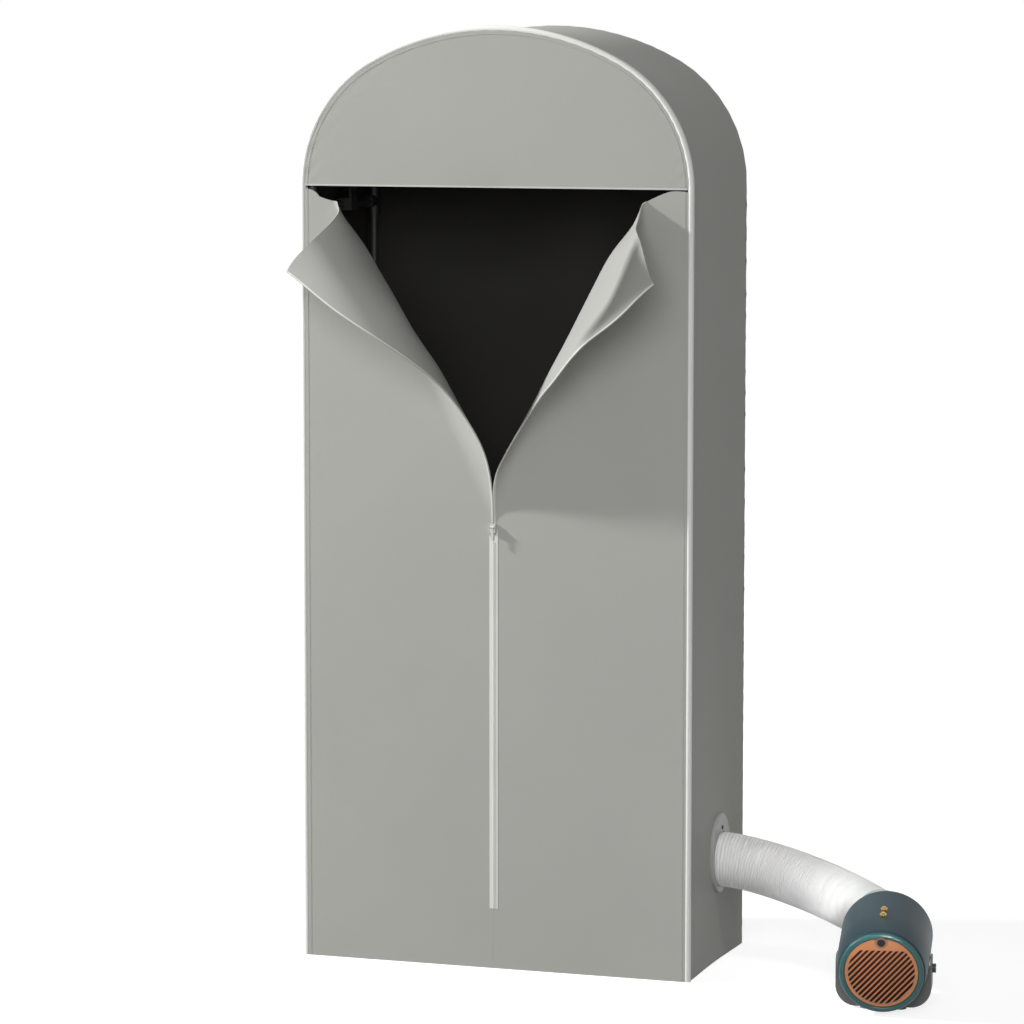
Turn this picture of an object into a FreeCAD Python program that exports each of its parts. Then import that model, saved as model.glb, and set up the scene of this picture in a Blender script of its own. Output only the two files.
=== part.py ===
import FreeCAD, Part
import math
import os

from FreeCAD import Placement, Rotation, Vector

os.makedirs("parts", exist_ok=True)

# Portable clothes dryer: a fabric cabinet on a tube frame, fed with warm air by a floor blower.
# Millimetres. Origin on the floor at the middle of the cabinet, +X right, +Y back, +Z up.

# Cabinet envelope
width = 740.0
depth = 350.0
height = 1700.0
arch_side_radius = 258.0
crown_lift = 29.0
piping_radius = 6.0
cloth = 2.0
cloth_recess = 3.0
fit_gap = 0.3
seam_gap = 0.2

# Front zip and the two rolled-back flaps
zip_bottom = 110.0
zip_top = 803.0
zip_width = 16.0
zip_base_thickness = 2.5
zip_ridge_width = 6.0
zip_ridge_height = 2.0
zip_half_gap = 1.5
flap_drop = 4.0
left_fold = {
    "top_inset": 80.557,
    "lead": 133.064,
    "radius": 13.5,
    "growth": 0.1191,
    "wrap": 1.2,
    "tail_radius": 104.45,
}
right_fold = {
    "top_inset": 79.619,
    "lead": 139.518,
    "radius": 12.0,
    "growth": 0.043,
    "wrap": 1.7598,
    "tail_radius": 209.67,
}
least_fold_radius = 8.0
least_flap_strip = 3.0
fold_overlap = 5.0
arcs_per_section = 3
stations_above_corner = 5
stations_below_corner = 8

# Zip slider and pull
slider_width = 10.0
slider_length = 16.0
slider_depth = 5.0
slider_rise = 9.0
pull_pin_radius = 0.9
pull_pin_height = 5.5
pull_ear_thickness = 1.5
pull_width = 5.0
pull_thickness = 1.6
pull_length = 22.0
pull_eye_radius = 2.2
pull_play = 0.1

# Tube frame
tube_radius = 8.0
tube_wall = 1.0
sleeve_radius = 11.0
sleeve_length = 34.0
ridge_branch_radius = 10.2
corner_arm_radius = 10.4
socket_play = 0.05
tee_drop = 40.0
tee_half_length = 30.0
ridge_sleeve_half = 15.0
ridge_bore_play = 0.5
rail_radius = 11.0
rail_wall = 1.2
rail_rise = 50.0
bracket_thickness = 5.0
bracket_width = 30.0
bracket_margin = 8.0

# Air port in the right side
port_y = 20.0
port_z = 188.6
flange_lift = 11.4
flange_round = 2.3
flange_half_height = 73.0
flange_half_width = 56.5
flange_thickness = 7.0
collar_radius = 54.0
collar_depth = 27.0
clamp_ring_thickness = 4.0
port_screw_rise = 58.5
port_screw_radius = 2.0
screw_head_height = 2.0
screw_head_ratio = 1.8
thread_play = 0.05

# Ribbed hose
hose_radius = 50.0
hose_root_radius = 47.6
hose_bore = 46.0
hose_lead = 12.0
hose_tail = 60.0
hose_insert = 8.0
hose_ribs = 74
hose_lead_reach = 0.2
hose_tail_reach = 0.52
rib_marks = ((0.0, 0), (0.22, 1), (0.56, 1), (0.78, 0))
clamp_band_thickness = 1.6
clamp_band_width = 9.0
clamp_band_inset = 14.0
clamp_screw_radius = 3.5
clamp_screw_length = 22.0

# Blower, drawn about its own axis with the front at -Y
blower_stand_off = 372.5
blower_forward = 246.5
blower_height = 95.0
blower_yaw = 10.1
blower_tilt = 11.3
body_radius = 80.0
body_wall = 3.0
body_front = -80.0
body_back = 87.0
nose_radius = 76.0
nose_length = 70.0
nose_steps = 10
nose_round = 2.0
front_lip = 66.0
lip_thickness = 3.0
ring_tail = -70.0
ring_radius = 73.5
ring_front = -88.0
ring_crest_height = 5.0
ring_crest_steps = 12
grille_radius = 63.0
grille_thickness = 1.6
grille_recess = 3.5
ledge_radius = 57.0
filter_thickness = 3.0
filter_lip = 52.0
slot_count = 15
slot_pitch = 7.5
slot_width = 4.8
slot_field = 58.0
slot_chord = 41.5
slot_angle = 47.5
grille_boss_radius = 9.7
grille_boss_height = 5.0
grille_boss_rise = 57.5
grille_screw_radius = 7.0
grille_screw_depth = 2.5
hex_radius = 3.2

# Blower works
shaft_radius = 4.0
bearing_play = 0.05
hub_radius = 22.0
hub_front = -60.0
hub_back = -36.0
fan_radius = 72.0
blade_count = 7
blade_thickness = 2.4
blade_pitch = 32.0
motor_radius = 24.0
motor_front = -28.0
motor_back = 22.0
mount_front = 12.0
mount_back = 20.0
mount_rim = 5.0
mount_arm_width = 8.0
mount_arm_angles = (30.0, 150.0, 270.0)
heater_front = 62.0
heater_back = 76.0
heater_rim = 7.0
fin_thickness = 2.0
fin_count = 11
fin_pitch = 11.0
fin_bar_width = 5.0
cutout_radius = 2.9
cutout_length = 6.0
board_front = -32.0
board_back = 20.0
board_half_width = 25.0
board_height = 62.0
board_thickness = 1.6
board_post_width = 8.0
board_post_offset = 20.0
switch_size = 7.0
switch_height = 7.0

# Brass push buttons on top
button_places = {"power_button": -26.0, "heat_button": -2.0}
button_stem_radius = 4.0
button_cap_radius = 6.0
button_cap_height = 3.0
button_tip_radius = 3.6
button_tip_height = 3.2
button_travel = 1.8
button_foot_radius = 5.2
button_foot_height = 1.6

# Rear cover and outlet
dome_waist = 72.0
dome_waist_back = 103.0
outlet_back = 112.0
outlet_wall = 2.6
outlet_bend_radius = 58.0
outlet_heading = Vector(-0.691, 0.715, 0.108).normalize()
spigot_length = 26.0
spigot_play = 0.4
skirt_length = 5.0
skirt_thickness = 3.0
cover_screw_angles = (210.0, 270.0, 330.0)
cover_screw_radius = 1.5

# Mains inlet gland
gland_angle = -45.0
gland_place = 40.0
gland_radius = 6.0
gland_bore = 3.2
gland_outer = 92.0
gland_flange_radius = 7.5
gland_flange_thickness = 3.0

# Cradle stand
tilt_drop = 25.0
arm_gap = 0.5
arm_thickness = 2.8
arm_half_width = 24.0
base_half_width = 26.0
base_half_length = 40.0
arm_top = 23.0
arm_round = 14.0
tilt_room = 6.5
sole_thickness = 4.0
yoke_round = 36.0
base_thickness = 4.5
pad_height = 2.0
pad_radius = 9.0
pad_inset = 11.0
pivot_radius = 4.0
pivot_boss_radius = 7.0
pivot_depth = 12.0
pivot_head_radius = 7.0
pivot_head_height = 1.2
knob_radius = 8.0
knob_length = 6.5
knob_flutes = 8
knob_flute_radius = 1.3

arch_rise = arch_side_radius + crown_lift
spring_height = height - arch_rise
arch_centre_x = width / 2 - arch_side_radius
crown_square = arch_centre_x**2 + arch_rise**2 - arch_side_radius**2
arch_top_radius = crown_square / (2 * crown_lift)
arch_top_centre = height - arch_top_radius
arch_break = math.atan2(spring_height - arch_top_centre, arch_centre_x)
front_face = -depth / 2 + cloth_recess
front_back = front_face + cloth
side_outer = width / 2 - cloth_recess
side_inner = side_outer - cloth
back_inner = depth / 2 - cloth
panel_edge = 2 * piping_radius
flap_top = spring_height - flap_drop
post_inset = piping_radius + (piping_radius + sleeve_radius + fit_gap) / math.sqrt(2)
post_x = width / 2 - post_inset
post_front = -depth / 2 + post_inset
post_back = back_inner - fit_gap - sleeve_radius
rail_low = cloth + fit_gap + sleeve_radius
tee_height = spring_height - tee_drop
X = Vector(1, 0, 0)
Y = Vector(0, 1, 0)
Z = Vector(0, 0, 1)


def save(name, shape):
    shape.exportStep("parts/" + name + ".step")


def box(low, high):
    return Part.makeBox(high.x - low.x, high.y - low.y, high.z - low.z, low)


def rod(start, direction, radius, length):
    return Part.makeCylinder(radius, length, start, direction)


def pipe(start, direction, radius, bore, length):
    return rod(start, direction, radius, length).cut(rod(start, direction, bore, length))


def fuse(shapes):
    return shapes[0].multiFuse(shapes[1:]).removeSplitter() if len(shapes) > 1 else shapes[0]


def arch_points(inset):
    """Springing, side arc middle, arc break and crown of the right half of the arch."""
    radius = arch_side_radius - inset

    def side(angle):
        return Vector(arch_centre_x + radius * math.cos(angle), 0, spring_height + radius * math.sin(angle))

    return side(0), side(arch_break / 2), side(arch_break), Vector(0, 0, height - inset)


def arch_edges(inset):
    """Three tangent arcs from the right springing over the crown to the left springing."""
    spring, middle, turn, crown = arch_points(inset)
    mirror = [Vector(-p.x, 0, p.z) for p in (spring, middle, turn)]
    return [
        Part.Arc(spring, middle, turn).toShape(),
        Part.Arc(turn, crown, mirror[2]).toShape(),
        Part.Arc(mirror[2], mirror[1], mirror[0]).toShape(),
    ]


def arch_plate(inset, low, front, back):
    """Arch-topped plate standing between two depths."""
    half = width / 2 - inset
    corners = [Vector(-half, 0, spring_height), Vector(-half, 0, low), Vector(half, 0, low)]
    corners.append(Vector(half, 0, spring_height))
    if low == spring_height:
        corners = [corners[0], corners[3]]
    lines = [Part.makeLine(a, b) for a, b in zip(corners[:-1], corners[1:])]
    face = Part.Face(Part.Wire(lines + arch_edges(inset)))
    face.translate(Vector(0, front, 0))
    return face.extrude(Vector(0, back - front, 0))


def arch_tube(inset, y, radius, low):
    """Round bar up one side, over the arch and down the other."""
    half = width / 2 - inset
    up = Part.makeLine(Vector(half, 0, low), Vector(half, 0, spring_height))
    down = Part.makeLine(Vector(-half, 0, spring_height), Vector(-half, 0, low))
    path = Part.Wire([up] + arch_edges(inset) + [down])
    circle = Part.Wire(Part.makeCircle(radius, Vector(half, 0, low), Z))
    bar = path.makePipeShell([circle], True, False)
    bar.translate(Vector(0, y, 0))
    return bar


# Cover panels
port = Vector(side_outer, port_y, port_z)


port_screw_spot = Z * port_screw_rise


def port_holes(start_x, length):
    """Clearance for the port collar and its screw through one layer."""
    start = Vector(start_x, port_y, port_z)
    collar_hole = rod(start, X, collar_radius + fit_gap, length)
    return collar_hole.fuse(rod(start + port_screw_spot, X, port_screw_radius + thread_play, length))


side_front = -depth / 2 + panel_edge
side_low = Vector(side_inner, side_front, 0)
side_high = Vector(side_outer, depth / 2, spring_height)
side_panel_right = box(side_low, side_high).cut(port_holes(side_inner, cloth))
side_panel_left = box(Vector(-side_outer, side_front, 0), Vector(-side_inner, depth / 2, spring_height))
top_outer = arch_plate(cloth_recess, spring_height, side_front, depth / 2)
top_inner = arch_plate(cloth_recess + cloth, spring_height, side_front, depth / 2)
top_panel = top_outer.cut(top_inner)
back_panel = arch_plate(cloth_recess + cloth + seam_gap, 0, back_inner, depth / 2)
valance = arch_plate(panel_edge, spring_height, front_face, front_back)
front_piping = arch_tube(piping_radius, -depth / 2 + piping_radius, piping_radius, 0)
floor_panel = box(Vector(-side_inner, front_back, 0), Vector(side_inner, back_inner, cloth))
for sign in (-1, 1):
    corner = Vector(sign * (width / 2 - piping_radius), -depth / 2 + piping_radius, 0)
    floor_panel = floor_panel.cut(rod(corner, Z, piping_radius + fit_gap, cloth))

save("side_panel_right", side_panel_right)
save("side_panel_left", side_panel_left)
save("top_panel", top_panel)
save("back_panel", back_panel)
save("valance", valance)
save("front_piping", front_piping)
save("floor_panel", floor_panel)


# Front panels, each one cloth: flat below a slanting fold, rolled outwards above it
def front_panel(side, fold):
    """Half of the front. Side is -1 for left and 1 for right; the roll widens down the fold,
    which runs from the top hem, inset from the outer seam, to the top of the zip."""
    edge_x = width / 2 - panel_edge
    along_x = edge_x - fold["top_inset"] - zip_half_gap
    along_z = zip_top - flap_top
    fold_length = math.hypot(along_x, along_z)
    along = (along_x / fold_length, along_z / fold_length)
    across = (-along[1], along[0])
    start_x = edge_x - fold["top_inset"] - fold["lead"] * along[0]
    start_z = flap_top + fold["lead"] * along[1]
    reach = fold_length - fold["lead"]

    def strip_width(t):
        to_top = (flap_top - start_z - t * along[1]) / across[1]
        to_zip = (start_x - zip_half_gap - t * along[0]) / across[0]
        return min(to_top, to_zip)

    def place(t, s, lift, back):
        """Point at t down the fold and s across it, lifted forward, back through the cloth."""
        x = -start_x + t * along[0] + s * across[0]
        z = start_z + t * along[1] + s * across[1]
        return Vector(-side * x, front_face - lift + back, z)

    def rolled(t, s):
        """Both faces of the cloth at one place of the roll."""
        radius = max(fold["radius"] + fold["growth"] * t, least_fold_radius)
        angle = min(s / radius, fold["wrap"])
        shift = radius * math.sin(angle)
        lift = radius * (1 - math.cos(angle))
        rest = max(s - radius * fold["wrap"], 0)
        turn = rest / fold["tail_radius"]
        shift += fold["tail_radius"] * (math.sin(angle + turn) - math.sin(angle))
        lift += fold["tail_radius"] * (math.cos(angle) - math.cos(angle + turn))
        heading = angle + turn
        front = place(t, shift, lift, 0)
        back = place(t, shift + cloth * math.sin(heading), lift - cloth * math.cos(heading), 0)
        return front, back

    def section(t):
        span = strip_width(t)
        steps = 2 * arcs_per_section
        pairs = [rolled(t, span * i / steps) for i in range(steps + 1)]
        front = [p for p, q in pairs]
        back = [q for p, q in reversed(pairs)]
        root_front = place(t, -fold_overlap, 0, 0)
        root_back = place(t, -fold_overlap, 0, cloth)
        edges = [Part.makeLine(root_front, front[0])]
        edges += [Part.Arc(*front[i:i + 3]).toShape() for i in range(0, steps, 2)]
        edges.append(Part.makeLine(front[-1], back[0]))
        edges += [Part.Arc(*back[i:i + 3]).toShape() for i in range(0, steps, 2)]
        edges.append(Part.makeLine(back[-1], root_back))
        edges.append(Part.makeLine(root_back, root_front))
        return Part.Wire(edges)

    top_t = (flap_top - start_z) / along[1]
    corner_t = (start_x - zip_half_gap) * along[0] + (flap_top - start_z) * along[1]
    first_t = top_t + (corner_t - top_t) * least_flap_strip / strip_width(corner_t)
    last_t = reach - (reach - corner_t) * least_flap_strip / strip_width(corner_t)
    upper_step = (corner_t - first_t) / stations_above_corner
    upper = [first_t + upper_step * i for i in range(stations_above_corner)]
    lower_step = (last_t - corner_t) / stations_below_corner
    lower = [corner_t + lower_step * i for i in range(stations_below_corner + 1)]
    roll = Part.makeLoft([section(t) for t in upper + lower], True, True)
    fold_top = place(top_t, 0, 0, 0)
    outline = [
        Vector(side * edge_x, front_face, 0),
        Vector(side * zip_half_gap, front_face, 0),
        Vector(side * zip_half_gap, front_face, zip_top),
        fold_top,
        Vector(side * edge_x, front_face, flap_top),
    ]
    flat = Part.Face(Part.makePolygon(outline + outline[:1])).extrude(Vector(0, cloth, 0))
    return fuse([flat, roll])


save("front_panel_left", front_panel(-1, left_fold))
save("front_panel_right", front_panel(1, right_fold))

# Zip chain, slider and pull
zip_front = front_face - zip_base_thickness
ridge_front = zip_front - zip_ridge_height
zip_base = box(Vector(-zip_width / 2, zip_front, zip_bottom), Vector(zip_width / 2, front_face, zip_top))
ridge_low = Vector(-zip_ridge_width / 2, ridge_front, zip_bottom)
zip_ridge = box(ridge_low, Vector(zip_ridge_width / 2, zip_front, zip_top))
save("zip_chain", fuse([zip_base, zip_ridge]))

slider_low = zip_top + slider_rise - slider_length
slider_back = zip_front - fit_gap
slider_front = slider_back - slider_depth
slider_top = slider_low + slider_length
slider_corner = Vector(-slider_width / 2, slider_front, slider_low)
slider = box(slider_corner, Vector(slider_width / 2, slider_back, slider_top))
groove_half = zip_ridge_width / 2 + fit_gap
groove_low = Vector(-groove_half, ridge_front - fit_gap, slider_low)
slider = slider.cut(box(groove_low, Vector(groove_half, slider_back, slider_top)))
pin_y = slider_front - pull_eye_radius - fit_gap
pin_z = slider_top - pull_pin_height
ear_gap = pull_width / 2 + fit_gap
for sign in (-1, 1):
    ear_x = sign * (ear_gap + pull_ear_thickness / 2) - pull_ear_thickness / 2
    ear_start = Vector(ear_x, pin_y, pin_z)
    ear = rod(ear_start, X, pull_eye_radius, pull_ear_thickness)
    foot_end = Vector(ear_x + pull_ear_thickness, slider_front, pin_z + pull_eye_radius)
    foot = box(ear_start - Z * pull_eye_radius, foot_end)
    slider = slider.fuse(ear).fuse(foot)
ear_outer = ear_gap + pull_ear_thickness
pin = rod(Vector(-ear_outer, pin_y, pin_z), X, pull_pin_radius, 2 * ear_outer)
save("zip_slider", fuse([slider, pin]))
eye_start = Vector(-pull_width / 2, pin_y, pin_z)
pull_eye = rod(eye_start, X, pull_eye_radius, pull_width)
pull_low = Vector(-pull_width / 2, pin_y - pull_thickness / 2, pin_z - pull_length)
pull_tab = box(pull_low, Vector(pull_width / 2, pin_y + pull_thickness / 2, pin_z))
save("zip_pull", fuse([pull_eye, pull_tab]).cut(rod(eye_start, X, pull_pin_radius + pull_play, pull_width)))

# Tube frame inside the cover
post_low = rail_low + sleeve_radius
tube_bore = tube_radius - tube_wall
posts = {}
for side_name, sign in (("left", -1), ("right", 1)):
    for end_name, y in (("front", post_front), ("back", post_back)):
        start = Vector(sign * post_x, y, post_low)
        posts[end_name + "_" + side_name] = start
        post = pipe(start, Z, tube_radius, tube_bore, tee_height - post_low)
        save("post_" + end_name + "_" + side_name, post)
    for level_name, z in (("base", rail_low), ("top", tee_height)):
        start = Vector(sign * post_x, post_front + sleeve_radius, z)
        length = post_back - post_front - 2 * sleeve_radius
        save(level_name + "_depth_tube_" + side_name, pipe(start, Y, tube_radius, tube_bore, length))
for end_name, y in (("front", post_front), ("back", post_back)):
    start = Vector(-post_x + sleeve_radius, y, rail_low)
    save("base_tube_" + end_name, pipe(start, X, tube_radius, tube_bore, 2 * (post_x - sleeve_radius)))
    hoop = arch_tube(post_inset, y, tube_radius, tee_height)
    save("arch_tube_" + end_name, hoop.cut(arch_tube(post_inset, y, tube_bore, tee_height)))

corner_fittings = []
tee_fittings = []
for name, start in posts.items():
    inward_x = Vector(-math.copysign(1, start.x), 0, 0)
    inward_y = Y if start.y < 0 else Y.negative()
    heart = Vector(start.x, start.y, rail_low)
    foot = rod(Vector(start.x, start.y, cloth), Z, sleeve_radius, rail_low - cloth)
    ball = Part.makeSphere(sleeve_radius, heart)
    arms = [rod(heart, d, corner_arm_radius, sleeve_length) for d in (inward_x, inward_y)]
    arms.append(rod(heart, Z, sleeve_radius, sleeve_length))
    sockets = []
    for d in (inward_x, inward_y, Z):
        sockets.append(rod(heart + d * sleeve_radius, d, tube_radius + socket_play, sleeve_length))
    corner_fittings.append(fuse([foot, ball] + arms).cut(fuse(sockets)))
    tee_heart = Vector(start.x, start.y, tee_height)
    upright = rod(tee_heart - Z * tee_half_length, Z, sleeve_radius, 2 * tee_half_length)
    branch = rod(tee_heart, inward_y, sleeve_radius, sleeve_length)
    bores = [
        rod(tee_heart - Z * tee_half_length, Z, tube_radius + socket_play, 2 * tee_half_length),
        rod(tee_heart + inward_y * sleeve_radius, inward_y, tube_radius + socket_play, sleeve_length),
    ]
    tee_fittings.append(fuse([upright, branch]).cut(fuse(bores)))
save("base_corner_fittings", Part.makeCompound(corner_fittings))
save("top_tee_fittings", Part.makeCompound(tee_fittings))

crown_z = height - post_inset
ridge_fittings = []
for y, inward in ((post_front, Y), (post_back, Y.negative())):
    heart = Vector(0, y, crown_z)
    grip_start = heart - X * ridge_sleeve_half
    grip = rod(grip_start, X, sleeve_radius, 2 * ridge_sleeve_half)
    branch = rod(heart, inward, ridge_branch_radius, sleeve_length)
    bore = rod(grip_start, X, tube_radius + ridge_bore_play, 2 * ridge_sleeve_half)
    socket = rod(heart + inward * sleeve_radius, inward, tube_radius + socket_play, sleeve_length)
    ridge_fittings.append(fuse([grip, branch]).cut(fuse([bore, socket])))
save("ridge_fittings", Part.makeCompound(ridge_fittings))
ridge_start = Vector(0, post_front + sleeve_radius, crown_z)
save("ridge_tube", pipe(ridge_start, Y, tube_radius, tube_bore, post_back - post_front - 2 * sleeve_radius))

# Hanging rail on two upright brackets
rail_y = (post_front + post_back) / 2
rail_z = spring_height + rail_rise
bracket_inner = post_x - tube_radius - bracket_margin - bracket_thickness
rail_start = Vector(-bracket_inner - bracket_thickness, rail_y, rail_z)
rail_length = 2 * (bracket_inner + bracket_thickness)
save("hanging_rail", pipe(rail_start, X, rail_radius, rail_radius - rail_wall, rail_length))
brackets = []
for sign in (-1, 1):
    low_x = min(sign * bracket_inner, sign * (bracket_inner + bracket_thickness))
    plate_low = Vector(low_x, rail_y - bracket_width / 2, tee_height - sleeve_radius)
    plate_high = Vector(low_x + bracket_thickness, rail_y + bracket_width / 2, rail_z)
    plate = box(plate_low, plate_high)
    head = rod(Vector(low_x, rail_y, rail_z), X, bracket_width / 2, bracket_thickness)
    grip_start = Vector(sign * post_x, rail_y - bracket_width / 2, tee_height)
    grip = rod(grip_start, Y, sleeve_radius, bracket_width)
    web_x = sorted((sign * post_x, sign * (bracket_inner + bracket_thickness)))
    web_low = Vector(web_x[0], rail_y - bracket_width / 2, tee_height - sleeve_radius)
    web = box(web_low, Vector(web_x[1], rail_y + bracket_width / 2, tee_height + sleeve_radius))
    solid = fuse([plate, head, grip, web])
    solid = solid.cut(rod(grip_start, Y, tube_radius + socket_play, bracket_width))
    rail_hole = rod(Vector(low_x, rail_y, rail_z), X, rail_radius + socket_play, bracket_thickness)
    brackets.append(solid.cut(rail_hole))
save("rail_brackets", Part.makeCompound(brackets))

# Air port: flange outside and clamp ring inside, both set above the collar, with one screw through both
collar_end = side_outer - collar_depth
hose_start_x = side_outer - hose_insert


def port_plate(start_x, thickness):
    """An upright oval plate round the port."""
    centre = Vector(start_x, port_y, port_z + flange_lift)
    rim = Part.Ellipse(centre + Z * flange_half_height, centre + Y * flange_half_width, centre).toShape()
    return Part.Face(Part.Wire([rim])).extrude(X * thickness)


port_flange = port_plate(side_outer, flange_thickness)
outer_rim = max(port_flange.Edges, key=lambda e: e.BoundBox.XMin)
port_flange = port_flange.makeFillet(flange_round, [outer_rim])
collar_start = Vector(collar_end, port_y, port_z)
port_flange = port_flange.fuse(rod(collar_start, X, collar_radius, collar_depth))
socket_start = Vector(hose_start_x, port_y, port_z)
port_flange = port_flange.cut(rod(socket_start, X, hose_radius + fit_gap, collar_depth))
port_flange = port_flange.cut(rod(collar_start, X, hose_bore, collar_depth))
screw_hole = rod(port + port_screw_spot, X, port_screw_radius + thread_play, flange_thickness)
save("port_flange", port_flange.cut(screw_hole).removeSplitter())
ring_start = side_inner - clamp_ring_thickness
clamp_ring = port_plate(ring_start, clamp_ring_thickness)
save("port_clamp_ring", clamp_ring.cut(port_holes(ring_start, clamp_ring_thickness)))
screw_length = clamp_ring_thickness + cloth + flange_thickness
screw_shank = rod(Vector(ring_start, port_y, port_z) + port_screw_spot, X, port_screw_radius, screw_length)
screw_face = port + port_screw_spot + X * flange_thickness
screw_head = rod(screw_face, X, port_screw_radius * screw_head_ratio, screw_head_height)
save("port_screw", fuse([screw_shank, screw_head]))

# The blower's own frame: axis along Y, then tipped nose down and turned
tipped = Rotation(Z, blower_yaw).multiply(Rotation(X, blower_tilt))
blower_centre = Vector(width / 2 + blower_stand_off, -blower_forward, blower_height)
blower_place = Placement(blower_centre, tipped)
tilt_axis_at = tipped.multVec(Vector(0, 0, -tilt_drop)) + blower_centre
stand_place = Placement(tilt_axis_at, Rotation(Z, blower_yaw))


def save_blower(name, shape):
    placed = shape.copy()
    placed.Placement = blower_place.multiply(placed.Placement)
    save(name, placed)


def save_stand(name, shape):
    placed = shape.copy()
    placed.Placement = stand_place.multiply(placed.Placement)
    save(name, placed)


def spun(points):
    """Ring or disc turned about the blower axis from (radius, place) corners."""
    corners = [Vector(r, u, 0) for r, u in points]
    face = Part.Face(Part.makePolygon(corners + corners[:1]))
    return face.revolve(Vector(), Y, 360)


def at_angle(radius, angle, place):
    turn = math.radians(angle)
    return Vector(radius * math.cos(turn), place, radius * math.sin(turn))


def spoke(angle):
    return at_angle(1, angle, 0)


# Housing shell with button holes, board posts and tilt bosses
body_bore = body_radius - body_wall
arm_inner = body_radius + arm_gap
arm_outer = arm_inner + arm_thickness
saddle_rise = tilt_drop - tilt_room
pivot_face = math.sqrt(arm_inner**2 - (saddle_rise + pivot_boss_radius) ** 2) - fit_gap
pivot_reach = arm_outer - pivot_face + pivot_depth


def nose_line(inset):
    """The nose's outline from the front back to the straight body."""
    line = []
    for i in range(nose_steps + 1):
        share = i / nose_steps
        narrowing = (body_radius - nose_radius) * (1 - share) ** 2
        place = body_front + nose_round + (nose_length - nose_round) * share
        line.append((body_radius - inset - narrowing, place))
    return line


housing_profile = [(front_lip, body_front), (nose_radius - nose_round, body_front)]
housing_profile += nose_line(0)
housing_profile += [(body_radius, body_back), (body_bore, body_back)]
housing_profile += reversed(nose_line(body_wall)[1:])
housing_profile += [(nose_radius - body_wall, body_front + lip_thickness)]
housing_profile += [(front_lip, body_front + lip_thickness)]
housing_outer = spun(housing_profile)
solids = [housing_outer]
inner_wall = rod(Y * board_front, Y, body_bore + body_wall / 2, board_back - board_front)
board_top = board_height + board_thickness
for u in (board_front + board_post_width, board_back - 2 * board_post_width):
    for sign in (-1, 1):
        post_x_low = sign * board_post_offset - board_post_width / 2
        post_low_corner = Vector(post_x_low, u, board_top)
        post_size = Vector(board_post_width, board_post_width, body_radius - board_top)
        post_block = box(post_low_corner, post_low_corner + post_size)
        solids.append(post_block.common(inner_wall))
for sign in (-1, 1):
    boss_start = Vector(sign * (pivot_face - pivot_depth - body_wall), 0, -tilt_drop)
    solids.append(rod(boss_start, X * sign, pivot_boss_radius, pivot_depth + body_wall))
housing = fuse(solids)
for sign in (-1, 1):
    hole_start = Vector(sign * (pivot_face - pivot_depth), 0, -tilt_drop)
    housing = housing.cut(rod(hole_start, X * sign, pivot_radius + bearing_play, pivot_reach))
for place in button_places.values():
    stem_start = Vector(0, place, body_bore - body_wall)
    housing = housing.cut(rod(stem_start, Z, button_stem_radius + fit_gap, 3 * body_wall))
for angle in cover_screw_angles:
    start = at_angle(body_bore - body_wall, angle, body_back - skirt_length / 2)
    housing = housing.cut(rod(start, spoke(angle), cover_screw_radius + thread_play, 3 * body_wall))
gland_root = at_angle(body_bore, gland_angle, gland_place)
gland_hole = rod(gland_root, spoke(gland_angle), gland_radius + thread_play, gland_outer - body_bore)
housing = housing.cut(gland_hole)
save_blower("blower_housing", housing)

# Front ring, slotted grille with its screw, and the dust filter behind
grille_front = ring_front + grille_recess
grille_back = grille_front + grille_thickness
filter_back = ring_tail - lip_thickness
neck_radius = front_lip - seam_gap
boss_centre = Vector(0, grille_front - grille_boss_height, grille_boss_rise)
ring_bore = grille_radius + fit_gap
crest_half = (ring_radius - ring_bore) / 2
ring_profile = []
for i in range(ring_crest_steps + 1):
    swing = math.pi * i / ring_crest_steps
    crest_rise = ring_crest_height * math.sin(swing)
    crest_at = ring_bore + crest_half * (1 - math.cos(swing))
    ring_profile.append((crest_at, ring_front + ring_crest_height - crest_rise))
front_ring = spun(ring_profile + [
    (ring_radius, body_front),
    (neck_radius, body_front),
    (neck_radius, ring_tail),
    (filter_lip, ring_tail),
    (filter_lip, filter_back),
    (ledge_radius, filter_back),
    (ledge_radius, grille_back),
    (ring_bore, grille_back),
])
boss_length = grille_boss_height + grille_thickness
boss_room = rod(boss_centre, Y, grille_boss_radius + fit_gap, boss_length)
save_blower("front_ring", front_ring.cut(boss_room).removeSplitter())

grille = rod(Y * grille_front, Y, grille_radius, grille_thickness)
slots = []
for i in range(slot_count):
    offset = (i - (slot_count - 1) / 2) * slot_pitch
    low = Vector(-slot_field, grille_front, offset - slot_width / 2)
    high = Vector(slot_field, grille_back, offset + slot_width / 2)
    bar = box(low, high)
    bar.rotate(Vector(), Y, -slot_angle)
    slots.append(bar)
field = rod(Y * grille_front, Y, slot_field, grille_thickness)
field_low = Vector(-slot_field, grille_front, -slot_field)
field = field.common(box(field_low, Vector(slot_field, grille_back, slot_chord)))
grille = grille.cut(Part.makeCompound(slots).common(field))
grille = grille.fuse(rod(boss_centre, Y, grille_boss_radius, boss_length))
recess_depth = grille_boss_height / 2 + grille_screw_depth
grille = grille.cut(rod(boss_centre, Y, grille_screw_radius + fit_gap, recess_depth))
save_blower("intake_grille", grille.removeSplitter())
screw_face = boss_centre + Y * (recess_depth - grille_screw_depth)
hex_corners = [screw_face + at_angle(hex_radius, 60 * i, 0) for i in range(6)]
hex_cut = Part.Face(Part.makePolygon(hex_corners + hex_corners[:1])).extrude(Y * grille_screw_depth / 2)
save_blower("grille_screw", rod(screw_face, Y, grille_screw_radius, grille_screw_depth).cut(hex_cut))
filter_front = Y * (filter_back - filter_thickness)
save_blower("dust_filter", rod(filter_front, Y, ledge_radius - fit_gap, filter_thickness))

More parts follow.
